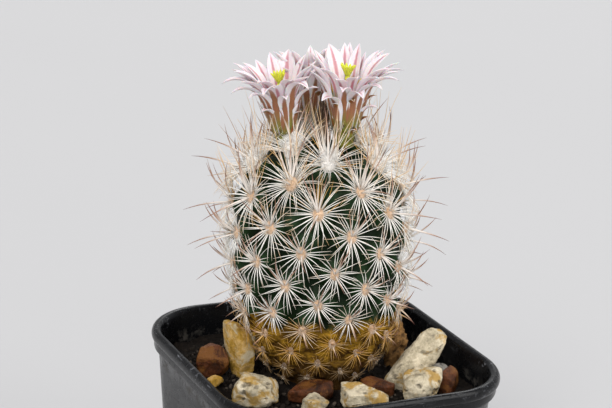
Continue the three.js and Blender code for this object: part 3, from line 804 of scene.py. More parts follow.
def central_spines(settings, areoles):
    """Stouter spines in the middle of every cushion: three that fan upward and one that points out,
    horn coloured with dark tips, short and ochre near the foot."""
    random = np.random.default_rng(31)
    areoles = {key: values[:LAST_WITH_CENTRALS] for key, values in areoles.items()}
    count = len(areoles["rank"])
    fan = np.radians([22, -2, -24, 180])
    rise = np.radians([48, 60, 48, 82])
    arch = np.radians([34, 38, 34, 26])
    reach = np.array([0.95, 1.0, 0.92, 1.05])
    per = len(fan)
    total = count * per
    spot = repeated(areoles, per)
    rank, out = spot["rank"], spot["out"]
    turn = np.tile(fan, count) + random.normal(0, 0.12, total)
    turn = turn + np.where(np.tile(fan > 3, count), random.normal(0, 0.5, total), 0)
    flat = between(spot["up"], -spot["right"], turn)
    first = np.tile(rise, count) + random.normal(0, 0.12, total)
    last = first - np.tile(arch, count) * random.uniform(0.6, 1.3, total)
    grown = np.interp(rank, *CENTRAL_GROWTH) * np.tile(reach, count)
    length = settings.central_length / MM * grown * random.uniform(0.86, 1.12, total)
    roots = spot["tip"] + flat * 0.35 + out * 0.2
    steps = 6
    paths = arching(roots, flat, out, length, first, last, steps, random.normal(0, 0.2, total))
    thickness = settings.central_thickness / MM * np.interp(rank, *CENTRAL_STOUTNESS)
    radii = spine_radii(thickness * random.uniform(0.85, 1.1, total), steps, 1.8)
    points, faces = tubes(paths, radii, 6)
    low = np.interp(rank, [56, 76], [0, 1])
    tint = np.clip(0.4 * random.random(total) + 0.8 * low, 0, 1)
    values = strand_values(total, steps, 6, tint=tint, tip=random.uniform(0.55, 1, total))
    horn = blended(settings.horn, settings.white, 0.7)
    look, along, tip_value, body = spine_finish("Horn Spine", settings, horn)
    body = look.mix(look.remap(along, 0.25, 0.7, 0.0, 0.95), body, settings.horn)
    dark = look.times(look.remap(along, 0.5, 1.0), tip_value)
    look.colour(look.mix(dark, body, settings.dark))
    stem_piece("central_spines", points, faces, look, values)


def crown_spines(settings, areoles):
    """The thicket round the flowers: the topmost cushions' long straw spines, nearly upright, and
    among them shorter golden ones that lean every way."""
    random = np.random.default_rng(47)
    per = np.round(np.interp(np.arange(CROWN_AREOLES), *CROWN_NUMBER)).astype(int)
    total = per.sum()
    spot = repeated({key: values[:CROWN_AREOLES] for key, values in areoles.items()}, per)
    golden = random.random(total) < GOLDEN_SHARE
    turn = np.pi / 2 + random.normal(0, 1.0, total)
    flat = between(spot["right"], spot["up"], turn)
    upward = unit(spot["out"] * 0.9 + UP)
    lean = np.where(golden, random.uniform(20, 80, total), random.uniform(2, 46, total))
    first = np.radians(90 - lean)
    last = first + np.radians(random.uniform(-16, 14, total))
    share = np.where(golden, random.uniform(0.3, 0.52, total), random.uniform(0.45, 1.0, total))
    length = settings.crown_length / MM * share * np.interp(spot["rank"], *CROWN_GROWTH)
    roots = spot["tip"] + flat * random.uniform(1.4, 2.4, total)[:, None] - spot["out"] * 0.4
    steps = 6
    paths = arching(roots, flat, upward, length, first, last, steps, random.normal(0, 0.5, total))
    thickness = settings.central_thickness / MM * random.uniform(0.38, 0.66, total)
    thickness = thickness * np.where(golden, 0.75, 1)
    points, faces = tubes(paths, spine_radii(thickness, steps, 1.3), 5)
    tint = np.where(golden, random.uniform(0.5, 1.0, total), 0.45 * random.random(total))
    values = strand_values(total, steps, 5, tint=tint, tip=random.uniform(0.45, 1.0, total))
    straw = blended(settings.horn, settings.white, 0.88)
    look, along, tip_value, body = spine_finish("Straw Spine", settings, straw)
    body = look.mix(look.times(look.remap(along, 0.2, 0.75), tip_value), body, settings.amber)
    brown = look.times(look.remap(along, 0.2, 0.8), look.remap(tip_value, 0.86, 0.92))
    look.colour(look.mix(brown, body, settings.horn))
    stem_piece("crown_spines", points, faces, look, values)


def cushion_wool(settings, areoles):
    """Wool in the cushions: short fibres that curl at random, long and white on the youngest, and a
    fine fuzz on the others."""
    random = np.random.default_rng(59)
    count = len(areoles["rank"])
    per = np.round(np.interp(areoles["rank"], *WOOL_NUMBER)).astype(int)
    total = per.sum()
    spot = repeated(areoles, per)
    rank, out = spot["rank"], spot["out"]
    turn = random.uniform(0, 2 * np.pi, total)
    flat = between(spot["right"], spot["up"], turn)
    share = np.sqrt(random.random(total))
    rim = cushion_width(rank) * np.hypot(np.cos(turn), CUSHION_TALLNESS * np.sin(turn))
    swell = swelling(rank) * cushion_width(rank) * np.sqrt(1 - 0.9 * share ** 2) - 0.1
    roots = spot["tip"] + flat * (rim * share * 0.95)[:, None] + out * swell[:, None]
    first = np.radians(random.uniform(25, 95, total))
    last = first + np.radians(random.uniform(-80, 80, total))
    length = random.uniform(1.2, 2.8, total) * np.interp(rank, *WOOL_GROWTH)
    steps = 3
    paths = arching(roots, flat, out, length, first, last, steps)
    radii = np.full((total, steps + 1), 0.055) * np.array([1, 1, 0.8, 0.4])
    points, faces = tubes(paths, radii, 3)
    age = spread(rank / count, 3 * (steps + 1))
    look = Finish("Cushion Wool", roughness=0.9, sheen_weight=0.4)
    tone = look.noise(0.002, 3)
    white = look.ramp(tone, [(0.3, (0.9, 0.86, 0.8)), (0.55, (0.97, 0.96, 0.94))])
    tan = look.ramp(tone, [(0.3, (0.6, 0.4, 0.22)), (0.6, (0.82, 0.67, 0.48))])
    look.colour(look.mix(look.remap(look.value("age"), 0.06, 0.09), white, tan))
    look.bump(look.noise(0.0002, 2), 0.00005)
    stem_piece("cushion_wool", points, faces, look, {"age": age})


# Flowers: azimuth about the stem's axis, distance from it, tilt outward and size. The two lists
# give each tepal's azimuth, its angle from the flower's axis at the tip, its length and its width.
TUBE_LENGTH = 13.0
FLOWER_SEAT = 1.4
TYPICAL_WIDTH = 3.5 * MM
FLOWERS = {
    "flower_left": {"azimuth": 170, "distance": 8.3, "tilt": 5, "size": 1.0, "seed": 3},
    "flower_right": {"azimuth": 317, "distance": 7.8, "tilt": 4, "size": 1.07, "seed": 7},
    "flower_back": {"azimuth": 72, "distance": 8.6, "tilt": 8, "size": 0.98, "seed": 5},
}
OUTER_TEPALS = {
    "flower_left": [
        (165, 124, 23, 3.7), (184, 124, 22, 3.3), (140, 62, 21, 3.4), (207, 114, 19, 3.2),
        (228, 126, 20.5, 4.4), (253, 112, 17.5, 3.4), (277, 132, 21, 4.2), (302, 100, 18, 3.2),
        (116, 74, 19.5, 3.4), (90, 70, 18.5, 3.6), (62, 60, 18, 3.6), (32, 56, 18, 3.4), (332, 66, 18.5, 3.2),
        (243, 14, 8.8, 2.8), (206, 120, 9.5, 2.5), (290, 40, 9, 2.4), (176, 30, 9, 2.4),
    ],
    "flower_right": [
        (62, 50, 22, 3.8), (38, 46, 21, 3.4), (14, 63, 22, 3.6), (348, 108, 23.5, 3.8),
        (328, 94, 20.5, 3.4), (307, 112, 22.5, 3.2), (285, 118, 19.5, 3.4), (262, 128, 18.5, 4.2),
        (238, 118, 17.5, 3.8), (210, 126, 16, 4.4), (182, 64, 18, 3.4), (150, 56, 18.5, 3.4),
        (120, 56, 19.5, 3.6), (92, 58, 21, 4.6), (250, 16, 9, 2.8), (312, 122, 11, 2.5), (196, 30, 9, 2.4),
    ],
    "flower_back": [
        (65, 110, 21, 3.6), (95, 112, 20.5, 3.5), (122, 100, 20, 3.5), (150, 80, 20, 3.5),
        (178, 60, 19.5, 3.5), (204, 66, 19, 3.5), (232, 74, 19.5, 3.6), (258, 68, 20, 3.5),
        (286, 62, 19, 3.4), (312, 74, 19, 3.4), (340, 96, 20, 3.5), (8, 106, 20.5, 3.6), (36, 112, 20.5, 3.5),
        (50, 22, 9, 2.6), (110, 110, 10, 2.5), (350, 30, 9, 2.4),
    ],
}
INNER_TEPALS = {
    "flower_left": [
        (150, 66, 14.5, 3.6), (172, 76, 15, 3.4), (195, 84, 14, 3.4), (218, 88, 13.5, 3.6),
        (240, 90, 12.5, 3.4), (262, 88, 13, 3.4), (285, 82, 13.5, 3.6), (308, 66, 14, 3.4),
        (335, 48, 13.5, 3.4), (5, 42, 13.5, 3.4), (48, 42, 14.8, 5.8), (78, 42, 14.2, 3.4),
        (101, 46, 13.4, 3.4), (128, 62, 14.2, 3.8),
    ],
    "flower_right": [
        (70, 28, 15, 3.6), (45, 36, 15, 3.6), (20, 54, 15, 3.6), (355, 66, 15.5, 3.6),
        (330, 74, 15.5, 3.4), (305, 82, 14.5, 3.4), (280, 88, 14, 3.4), (255, 90, 13, 3.4),
        (230, 88, 13, 3.4), (205, 78, 14, 3.4), (180, 58, 13.5, 3.4), (150, 48, 14, 3.4),
        (120, 46, 14.2, 3.6), (95, 48, 15.2, 4.4),
    ],
    "flower_back": [
        (62, 24, 14.6, 3.4), (35, 60, 15, 3.6), (88, 58, 15, 3.6), (114, 64, 15, 3.6), (140, 60, 14.5, 3.4),
        (166, 50, 14.5, 3.4), (192, 46, 14.5, 3.4), (218, 50, 15, 3.6), (244, 30, 14.5, 3.6),
        (270, 50, 15, 3.6), (296, 46, 14.5, 3.4), (322, 54, 14.5, 3.4), (348, 64, 15, 3.6), (12, 64, 15, 3.6),
    ],
}
# The tube's outline, and that of its hollow from the mouth down: radius, distance along the tube
TUBE_OUTLINE = np.array([(2.3, 0), (2.6, 3), (3.3, 7), (4.4, 11), (4.8, TUBE_LENGTH)])
TUBE_HOLLOW = np.array([(4.35, TUBE_LENGTH), (2.6, 8.5), (1.4, 6.5)])


def flower_frame(flower):
    """Place and turn of a flower in the stem's frame."""
    azimuth = math.radians(flower["azimuth"])
    distance = flower["distance"]
    dome = np.interp(distance, SKIN["radius"][:120], SKIN["height"][:120])
    return polar(distance, azimuth, dome - FLOWER_SEAT), tilt_toward(azimuth, math.radians(flower["tilt"]))


def begin(name, part):
    """A flower's size, and random numbers of its own for each of its parts."""
    flower = FLOWERS[name]
    return flower["size"], np.random.default_rng(flower["seed"] + 100 * part)


def flower_piece(name, node, ending, points, faces, finish, values=None):
    """A part of a flower, carried from the flower's own frame to the crown and to the world."""
    place, turn = flower_frame(FLOWERS[name])
    points = on_stem(points @ turn.T + place)
    new_piece(f"{name}_{ending}", points, faces, finish, [f"{name}_{node}"], values)


def blades(azimuth, foot_radius, foot_z, length, width, start, bend, tip, twist, base, cup, thick,
           rows=18, across=9):
    """Pointed blades. The middle line starts at the foot and heads away from the flower's axis at an
    angle that keeps its start value up to the bend and then eases to its tip value. The breadth
    grows to its full width at three fifths of the length and runs to a point. The section is a
    channel, its margins raised by the cup, with a fine keel along the middle."""
    count = len(azimuth)
    column = lambda value: np.broadcast_to(np.asarray(value, float), (count,))[:, None]
    t = np.linspace(0, 1, rows)
    ease = np.clip((t - column(bend)) / (1 - column(bend)), 0, 1) ** 1.25
    angle = column(start) + (column(tip) - column(start)) * ease
    out = polar(1, azimuth, 0)[:, None]
    side = beside(azimuth)[:, None]
    heading = between(UP, out, angle)
    step = (heading[:, 1:] + heading[:, :-1]) / 2 * (column(length) / (rows - 1))[..., None]
    line = np.concatenate([np.zeros((count, 1, 3)), np.cumsum(step, axis=1)], axis=1)
    line = line + out * column(foot_radius)[..., None] + UP * column(foot_z)[..., None]
    inner = between(-out, UP, angle)
    roll = column(twist) * t
    side, inner = between(side, inner, roll), between(inner, -side, roll)
    grow = column(base) + (1 - column(base)) * np.sin(np.pi / 2 * np.minimum(t / 0.6, 1))
    point = np.clip((t - 0.6) / 0.4, 0, 1)
    half = column(width) / 2 * grow * np.maximum(1 - point ** 1.9, 0.03)
    v = np.sin(np.linspace(np.pi / 2, -np.pi / 2, across))
    v = np.concatenate([v, v[-2:0:-1]])
    layer = np.concatenate([np.ones(across), -np.ones(across - 2)])
    body = column(thick)[..., None] / 2 * np.sqrt(np.clip(1 - v ** 2, 0, 1)) * layer
    body = body * np.minimum(1, half[..., None] / 0.6)
    keel = 0.13 * np.exp(-(v / 0.16) ** 2) * np.minimum(half[..., None], 1)
    wave = 0.05 * np.sin(9 * t[None, :, None] + 40 * column(twist)[..., None]) * np.abs(v) ** 3
    rise = half[..., None] * (column(cup)[..., None] * v ** 2 + wave) - keel + body
    points = (line[:, :, None] + side[:, :, None] * (half[..., None] * v)[..., None]
              + inner[:, :, None] * rise[..., None])
    shape = points.shape[:3]
    values = {
        "across": np.broadcast_to(v, shape), "along": np.broadcast_to(t[None, :, None], shape),
        "outside": np.broadcast_to(np.where(layer < 0, 1.0, 0.0), shape),
    }
    return points.reshape(-1, 3), ring_faces(count, rows, len(v)), values


def tube_radius(along):
    """Radius of a flower's tube at a distance along it."""
    return np.interp(along, TUBE_OUTLINE[:, 1], TUBE_OUTLINE[:, 0])


def outer_tepals(name, settings):
    """Long narrow tepals that hug the tube and then arch outward."""
    size, random = begin(name, 0)
    turn, tip, length, width = np.array(OUTER_TEPALS[name]).T
    count = len(turn)
    foot = np.where(np.arange(count) % 2, 4.4, 5.8) + random.uniform(-0.4, 0.4, count)
    points, faces, values = blades(
        np.radians(turn), (tube_radius(foot) + 0.3) * size, foot * size, length,
        width * settings.outer_width / TYPICAL_WIDTH, np.radians(14), 0.42, np.radians(tip),
        random.normal(0, 0.12, count), 0.36, 0.34, 0.34,
    )
    finish = tepal_finish("Outer Tepal", settings, settings.midrib, 0.45)
    flower_piece(name, "outer_tepals", "outer_tepals_bloom", points, faces, finish, values)


def inner_tepals(name, settings):
    """Broader tepals that stand up from the mouth and open, every second one set further in."""
    size, random = begin(name, 1)
    turn, tip, length, width = np.array(INNER_TEPALS[name]).T
    count = len(turn)
    inside = np.arange(count) % 2
    points, faces, values = blades(
        np.radians(turn), (4.5 - 0.6 * inside) * size, (11.6 + 0.3 * inside) * size, length,
        width * settings.inner_width / TYPICAL_WIDTH, np.radians(15 - 5 * inside), 0.12,
        np.radians(tip), random.normal(0, 0.14, count), 0.4, 0.36, 0.3,
    )
    finish = tepal_finish("Inner Tepal", settings, settings.stripe, 0.16)
    flower_piece(name, "inner_tepals", "inner_tepals_bloom", points, faces, finish, values)


def tepal_finish(name, settings, back, spread_share):
    """Thin pale petal with a stripe along its middle, fine veins, and a coloured rib on its back."""
    look = Finish(name, roughness=0.5, subsurface_weight=0.25, subsurface_scale=0.0006,
                  specular_ior_level=0.25, sheen_weight=0.15)
    across, along, outside = look.value("across"), look.value("along"), look.value("outside")
    off = look.calc("ABSOLUTE", across)
    wander = look.times(look.minus(look.noise(0.0016, 3), 0.5), 0.25)
    off = look.plus(off, wander)
    vein_place = look.node("ShaderNodeCombineXYZ", {0: across, 1: along}).outputs[0]
    veins = look.noise(0.11, 3, 0.6, (1, 0.12, 1), place=vein_place)
    pale = look.mix(look.remap(look.noise(0.004, 3), 0.4, 0.65, 0.0, 0.6), settings.petal, (0.89, 0.86, 0.88))
    pale = look.mix(look.remap(veins, 0.42, 0.68, 0.0, 0.28), pale, settings.stripe)
    stripe = look.remap(off, 0.08, 0.36, 0.85, 0.0)
    stripe = look.times(stripe, look.remap(along, 1.0, 0.8, 0.35, 1.0))
    front = look.mix(stripe, pale, settings.stripe)
    breadth = look.remap(along, 0.3, 0.8, spread_share, 0.03)
    rib = look.remap(look.minus(off, breadth), 0.0, 0.24, 0.95, 0.0)
    rib = look.times(rib, look.remap(along, 0.95, 0.55, 0.2, 1.0))
    # The back's ground is paler than the front: partly the back's own colour, partly painted light on the
    # outer face that the lamps reach less
    rear = look.mix(rib, look.mix(0.5, pale, (0.85, 0.81, 0.83)), back)
    olive = look.remap(along, 0.36, 0.04, 0.0, 0.85)
    body = look.mix(outside, front, rear)
    olive = look.times(olive, look.remap(off, 1.0, 0.4, 0.25, 1.0))
    look.colour(look.mix(olive, body, settings.tube))
    look.bump(veins, 0.00022, 0.8)
    return look


def flower_tube(name, settings):
    """Fleshy tube, open above, clothed in narrow scales with brown middles and pale margins."""
    size, random = begin(name, 2)
    columns = 48
    z = np.linspace(0, TUBE_LENGTH, 26)
    profile = np.concatenate([np.stack([tube_radius(z), z], axis=-1), TUBE_HOLLOW])
    turn = circle(columns)
    ribs = 1 + 0.035 * np.cos(8 * turn + 1.0) * smooth(profile[:, 1:] / 4)
    radius = profile[:, :1] * ribs
    points = polar(radius, turn, profile[:, 1:])
    wall = (points.reshape(-1, 3) * size, ring_faces(1, len(profile), columns))
    count = 16
    azimuth = 2.4 * np.arange(count) + random.normal(0, 0.1, count)
    foot = np.linspace(1.2, 7.6, count)
    curled = random.random(count) < 0.3
    tip = np.radians(np.where(curled, random.uniform(80, 120, count), random.uniform(8, 30, count)))
    scale_points, scale_faces, values = blades(
        azimuth, (tube_radius(foot) + 0.16) * size, foot * size, size * np.interp(foot, [1, 8], [4.5, 9.5]),
        size * random.uniform(1.7, 2.3, count), np.radians(12), 0.35, tip, random.normal(0, 0.2, count),
        0.7, 0.3, 0.3, rows=12, across=7,
    )
    points, faces = join([wall, (scale_points, scale_faces)])
    wall_count = len(wall[0])
    plain = {"across": np.zeros(wall_count), "along": np.zeros(wall_count), "outside": np.ones(wall_count)}
    values = {key: np.concatenate([plain[key], values[key].ravel()]) for key in values}
    look = Finish("Scaly Tube", roughness=0.5, subsurface_weight=0.12, subsurface_scale=0.001)
    across, along = look.value("across"), look.value("along")
    olive = look.shades(look.noise(0.0025, 4), settings.tube, (0.3, 0.55), (0.55, 1), (0.78, 1.6))
    middle = look.remap(look.calc("ABSOLUTE", across), 0.75, 0.2)
    brown = look.times(middle, look.remap(along, 0.25, 0.6))
    margin = look.remap(look.calc("ABSOLUTE", across), 0.5, 0.95)
    body = look.mix(brown, olive, settings.midrib)
    look.colour(look.mix(look.times(margin, look.remap(along, 0.1, 0.4)), body, settings.petal))
    look.bump(look.noise(0.0006, 3), 0.00015)
    flower_piece(name, "tube", "tube_scales", points, faces, look, values)


def stamens(name, settings):
    """A ring of filaments on the inside of the tube, each ending in a plump anther."""
    size, random = begin(name, 3)
    count, steps = 54, 8
    turn = circle(count) + random.normal(0, 0.05, count)
    out = polar(1, turn, 0)
    foot = random.uniform(8.2, 11.0, count)
    inside = np.interp(foot, TUBE_HOLLOW[::-1, 1], TUBE_HOLLOW[::-1, 0]) - 0.05
    roots = out * inside[:, None] + UP * foot[:, None]
    lean = np.radians(90 + random.uniform(-12, 14, count))
    length = random.uniform(15.2, 17.6, count) - foot
    paths = arching(roots, out, UP, length, np.full(count, np.radians(84)), lean, steps)
    shape = np.array([0.09, 0.09, 0.085, 0.08, 0.08, 0.09, 0.3, 0.34, 0.06])
    points, faces = tubes(paths * size, np.tile(shape * size, (count, 1)), 6)
    band = np.array([(2.3, 10.2), (2.66, 10.2), (3.05, 11.2), (2.7, 11.2)])
    columns = 36
    hoop_points = polar(band[:, :1], circle(columns), band[:, 1:]) * size
    last = strip_faces(2, columns)
    last = np.where(last < columns, last + 3 * columns, last - columns)
    hoop = (hoop_points.reshape(-1, 3), [np.concatenate([strip_faces(4, columns), last])])
    points, faces = join([(points, faces), hoop])
    along = np.concatenate([strand_values(count, steps, 6)["along"], np.zeros(4 * columns)])
    look = Finish("Pollen", roughness=0.7)
    grain = look.noise(0.0004, 4)
    gold = look.shades(grain, settings.anther, (0.35, 0.7), (0.65, 1))
    look.colour(look.mix(look.remap(look.value("along"), 0.55, 0.7), (0.72, 0.7, 0.42), gold))
    look.bump(grain, 0.0002)
    flower_piece(name, "stamens", "pollen", points, faces, look, {"along": along})


def pistil(name, settings):
    """A style from the bottom of the tube that ends in a tuft of velvety stigma lobes."""
    size, random = begin(name, 4)
    lobes, steps = 9, 7
    style = np.zeros((1, 12, 3))
    style[0, :, 2] = np.linspace(6.8, 18.9, 12)
    style_radii = np.interp(style[..., 2], [6.8, 9, 15, 18.3, 18.9], [0.62, 0.5, 0.5, 0.66, 0.5])
    turn = circle(lobes) + random.normal(0, 0.08, lobes)
    out = polar(1, turn, 0)
    roots = out * 0.34 + np.array([0, 0, 18.2])
    first = np.radians(86 - random.uniform(4, 14, lobes))
    last = np.radians(90 - random.uniform(18, 52, lobes))
    length = random.uniform(3.0, 3.7, lobes)
    paths = arching(roots, out, UP, length, first, last, steps)
    lobe_radii = np.tile([0.26, 0.36, 0.4, 0.42, 0.42, 0.38, 0.3, 0.1], (lobes, 1))
    points, faces = join([
        tubes(style * size, style_radii * size, 14), tubes(paths * size, lobe_radii * size, 10),
    ])
    points = points + 0.06 * scatter(points, 0.45, 1, (0, 4, 8))
    look = Finish("Velvet Stigma", roughness=0.62, subsurface_weight=0.15, subsurface_scale=0.0008,
                  sheen_weight=0.3)
    velvet = look.noise(0.00035, 3)
    look.colour(look.shades(velvet, settings.stigma, (0.3, 0.62), (0.55, 1), (0.75, 1.25, 0.02)))
    look.bump(velvet, 0.00025)
    flower_piece(name, "pistil", "style_and_stigma", points, faces, look)


def dried_remains(settings):
    """Remains of an earlier flower: withered tepals twisted together over a shrunken tube."""
    random = np.random.default_rng(71)
    base = np.array([1.2, -1.6, 67.0])
    count = 17
    azimuth = 2.4 * np.arange(count)
    strips = blades(
        azimuth, random.uniform(0.5, 1.5, count), random.uniform(0.4, 2.5, count),
        random.uniform(7.5, 11.5, count), random.uniform(1.3, 2.2, count),
        np.radians(random.uniform(-2, 8, count)), 0.5,
        np.radians(random.uniform(-25, 38, count)), random.normal(0, 1.6, count), 0.8, 0.6, 0.22,
        rows=14, across=7,
    )
    z = np.linspace(0, 1, 12)
    turn = circle(20)
    radius = np.interp(z, [0, 0.25, 0.6, 1], [1.7, 1.9, 1.3, 0.5])[:, None] * (1 + 0.12 * np.cos(6 * turn))
    core = polar(radius, turn, 5.5 * z[:, None])
    points, faces = join([strips[:2], (core, ring_faces(1, 12, 20))])
    points = points + 0.25 * scatter(points, 1.6, 3, (2, 6, 13)) + base
    look = Finish("Withered Petal", roughness=0.9)
    fibre = look.noise(0.0009, 5, 0.65, (1.6, 1.6, 0.35))
    look.colour(look.ramp(fibre, [
        (0.3, (0.02, 0.011, 0.007)), (0.5, (0.085, 0.045, 0.025)), (0.72, (0.27, 0.2, 0.14)),
    ]))
    look.bump(fibre, 0.0005)
    new_piece("withered_flower", on_stem(points), faces, look, ["dried_flower"])


# Pot
def inner_half(z):
    """Half width of the pot's hollow at a height."""
    return POT_WIDTH / 2 - LIP_THICKNESS - (POT_HEIGHT - z) * math.tan(POT_TAPER)


def square_rings(halves, heights, steps=20):
    """Squares of given half widths stacked at their heights, with quarter-circle corners. Each
    corner's arc is centred where its sides' insets meet."""
    half, height = np.asarray(halves, float)[:, None], np.asarray(heights, float)[:, None]
    corner = POT_CORNER * half / (POT_WIDTH / 2)
    quarter = np.repeat(np.arange(4), steps + 1)
    angle = (quarter + np.tile(np.linspace(0, 1, steps + 1), 4)) * np.pi / 2
    middle = (quarter + 0.5) * np.pi / 2
    inset = (half - corner) * math.sqrt(2)
    return polar(inset, middle, height) + polar(corner, angle, 0)


def pot_shell():
    """The shell's outline from the middle of its underside, out, up the wall, over the rolled lip and
    down the inside to the middle of its floor. The lip is half an ellipse."""
    outer = lambda z: inner_half(z) + POT_WALL
    band = POT_HEIGHT - RIM_BAND
    roll = np.radians(np.linspace(-35, 175, 15))
    middle = POT_WIDTH / 2 - LIP_THICKNESS / 2
    lip_z = POT_HEIGHT - LIP_RISE
    outline = [(4, FOOT_HEIGHT), (12, FOOT_HEIGHT), (outer(2) - 4, FOOT_HEIGHT),
               (outer(2) - 1.3, FOOT_HEIGHT), (outer(2.2) - 0.5, 2.2), (outer(3), 3)]
    outline += [(outer(z), z) for z in np.linspace(5, band - 0.5, 14)]
    outline += [(outer(band) + 0.25, band - 0.1), (outer(band) + 1.05, band + 0.25),
                (outer(band) + 1.2, band + 0.8)]
    outline += [(POT_WIDTH / 2 - 0.75, POT_HEIGHT - 3.4)]
    outline += [(middle + LIP_THICKNESS / 2 * math.cos(a), lip_z + LIP_RISE * math.sin(a)) for a in roll]
    outline += [(inner_half(z), z) for z in np.linspace(POT_HEIGHT - 3, FLOOR_TOP + 1.2, 16)]
    outline += [(inner_half(FLOOR_TOP + 0.3) - 0.3, FLOOR_TOP + 0.3),
                (inner_half(FLOOR_TOP) - 1.2, FLOOR_TOP)]
    outline += [(12, FLOOR_TOP), (4, FLOOR_TOP)]
    halves, heights = np.array(outline).T
    points = square_rings(halves, heights)
    return points.reshape(-1, 3), ring_faces(1, len(outline), points.shape[1])


def column(radius_low, radius_high, low, high, sides=32):
    """A closed round column, wider or narrower at one end."""
    turn = circle(sides)
    rings = [(radius_low, low), (radius_high, high)]
    points = np.array([polar(radius, turn, z) for radius, z in rings])
    return points, ring_faces(1, 2, sides)


def plain_object(name, points, faces):
    """A bare mesh object, used for cutting or joining and then removed."""
    mesh = bpy.data.meshes.new(name)
    flat = [tuple(int(i) for i in face) for group in faces for face in group]
    mesh.from_pydata((points.reshape(-1, 3) * MM).tolist(), [], flat)
    return in_scene(name, mesh)


def make_pot(settings):
    """The pot: its shell with four feet joined on and five drain holes cut through the floor."""
    shell = plain_object("pot_shell", *pot_shell())
    place = inner_half(FOOT_HEIGHT) * FOOT_SPREAD
    feet, holes = [], []
    for x, y in ((1, 1), (1, -1), (-1, 1), (-1, -1)):
        points, faces = column(*FOOT_RADII, 0, FOOT_HEIGHT + 0.5)
        feet.append((points + np.array([x * place, y * place, 0]), faces))
    for x, y in ((0, 0), (1, 0), (-1, 0), (0, 1), (0, -1)):
        points, faces = column(HOLE_RADIUS, HOLE_RADIUS, 1, FLOOR_TOP + 1)
        holes.append((points + np.array([x * place, y * place, 0]), faces))
    tools = [(plain_object("pot_feet", *join(feet)), "UNION"),
             (plain_object("pot_holes", *join(holes)), "DIFFERENCE")]
    for tool, operation in tools:
        cut = shell.modifiers.new(tool.name, "BOOLEAN")
        cut.operation, cut.object, cut.solver = operation, tool, "EXACT"
    bpy.context.view_layer.update()
    solid = bpy.data.meshes.new_from_object(shell.evaluated_get(bpy.context.evaluated_depsgraph_get()))
    for made in [shell, *(tool for tool, _ in tools)]:
        bpy.data.objects.remove(made)
    solid.name = "black_pot"
    solid.materials.clear()
    solid.materials.append(pot_finish(settings).material)
    solid.shade_smooth()
    solid.set_sharp_from_angle(angle=math.radians(38))
    settle(in_scene("black_pot", solid), ["pot"])


def pot_finish(settings):
    """Glossy black plastic with hairline scratches, chalky scuffs along the lip and a faint lime film
    just above the soil."""
    look = Finish("Black Plastic", roughness=0.3, specular_ior_level=0.24)
    height = look.node("ShaderNodeSeparateXYZ", {0: look.place}).outputs[2]
    swirl = look.noise(0.03, 4)
    haze = look.noise(0.007, 6, 0.7)
    scratch = look.noise(0.001, 3, 0.5, (0.12, 1.0, 1.0), 0.6)
    scratch_b = look.noise(0.0009, 3, 0.5, (1.0, 0.1, 1.0), 0.6)
    lines = look.larger(look.remap(scratch, 0.61, 0.7), look.remap(scratch_b, 0.62, 0.71))
    near_lip = look.remap(height, 0.0695, 0.0735)
    dust = look.remap(look.noise(0.0009, 5, 0.75), 0.58, 0.72)
    worn = look.times(look.larger(lines, dust), look.remap(haze, 0.44, 0.6))
    worn = look.times(worn, look.remap(look.noise(0.022, 3), 0.4, 0.6, 0.15, 1.0))
    scuffs = look.times(worn, near_lip)
    base = look.mix(look.remap(haze, 0.45, 0.75, 0.0, 0.014), settings.plastic, settings.scuff)
    film = look.times(look.remap(height, 0.0705, 0.0665), look.remap(height, 0.0640, 0.0665))
    film = look.times(film, look.remap(look.noise(0.0035, 5, 0.7), 0.5, 0.72, 0.0, 0.35))
    base = look.mix(film, base, settings.lime)
    look.colour(look.mix(look.times(scuffs, 0.8), base, settings.scuff))
    rough = look.plus(look.remap(haze, 0.3, 0.7, 0.2, 0.34), look.times(film, 1.2))
    look.gloss(look.plus(rough, look.times(lines, 0.12)))
    look.bump(swirl, 0.0006, 0.25)
    look.bump(look.plus(lines, look.times(haze, 0.4)), 0.00006, 0.6)
    return look


# Soil
def make_soil(settings):
    """Potting mix: a lumpy surface that follows the pot's inner wall, over a plain block."""
    rows = 56
    share = np.linspace(0.02, 1, rows)
    edge = inner_half(SOIL_TOP) - SOIL_CLEARANCE
    top = square_rings(share * edge, np.full(rows, SOIL_TOP))
    lift = settings.unevenness / MM * (lumps(top, 5.0, 4) + 0.35 * lumps(top, 1.1, 2, 4.0)) - 0.4
    lift = np.minimum(lift, 0.9)
    top = top + UP * lift[..., None]
    low = np.array([SOIL_TOP - 4, 30, FLOOR_TOP + 2, FLOOR_TOP + 0.4])
    halves = np.array([inner_half(z) - SOIL_CLEARANCE for z in low]) - np.array([0, 0, 0, 1.2])
    sides = square_rings(halves, low)
    bottom = square_rings([6.0], [FLOOR_TOP + 0.4])
    rings = np.concatenate([bottom, sides[::-1], top[::-1]])
    look = soil_finish(settings)
    faces = ring_faces(1, len(rings), rings.shape[1])
    new_piece("potting_mix", rings, faces, look, ["soil"], {"pale": np.zeros(rings.shape[:2])})
    grit(settings, look, edge)


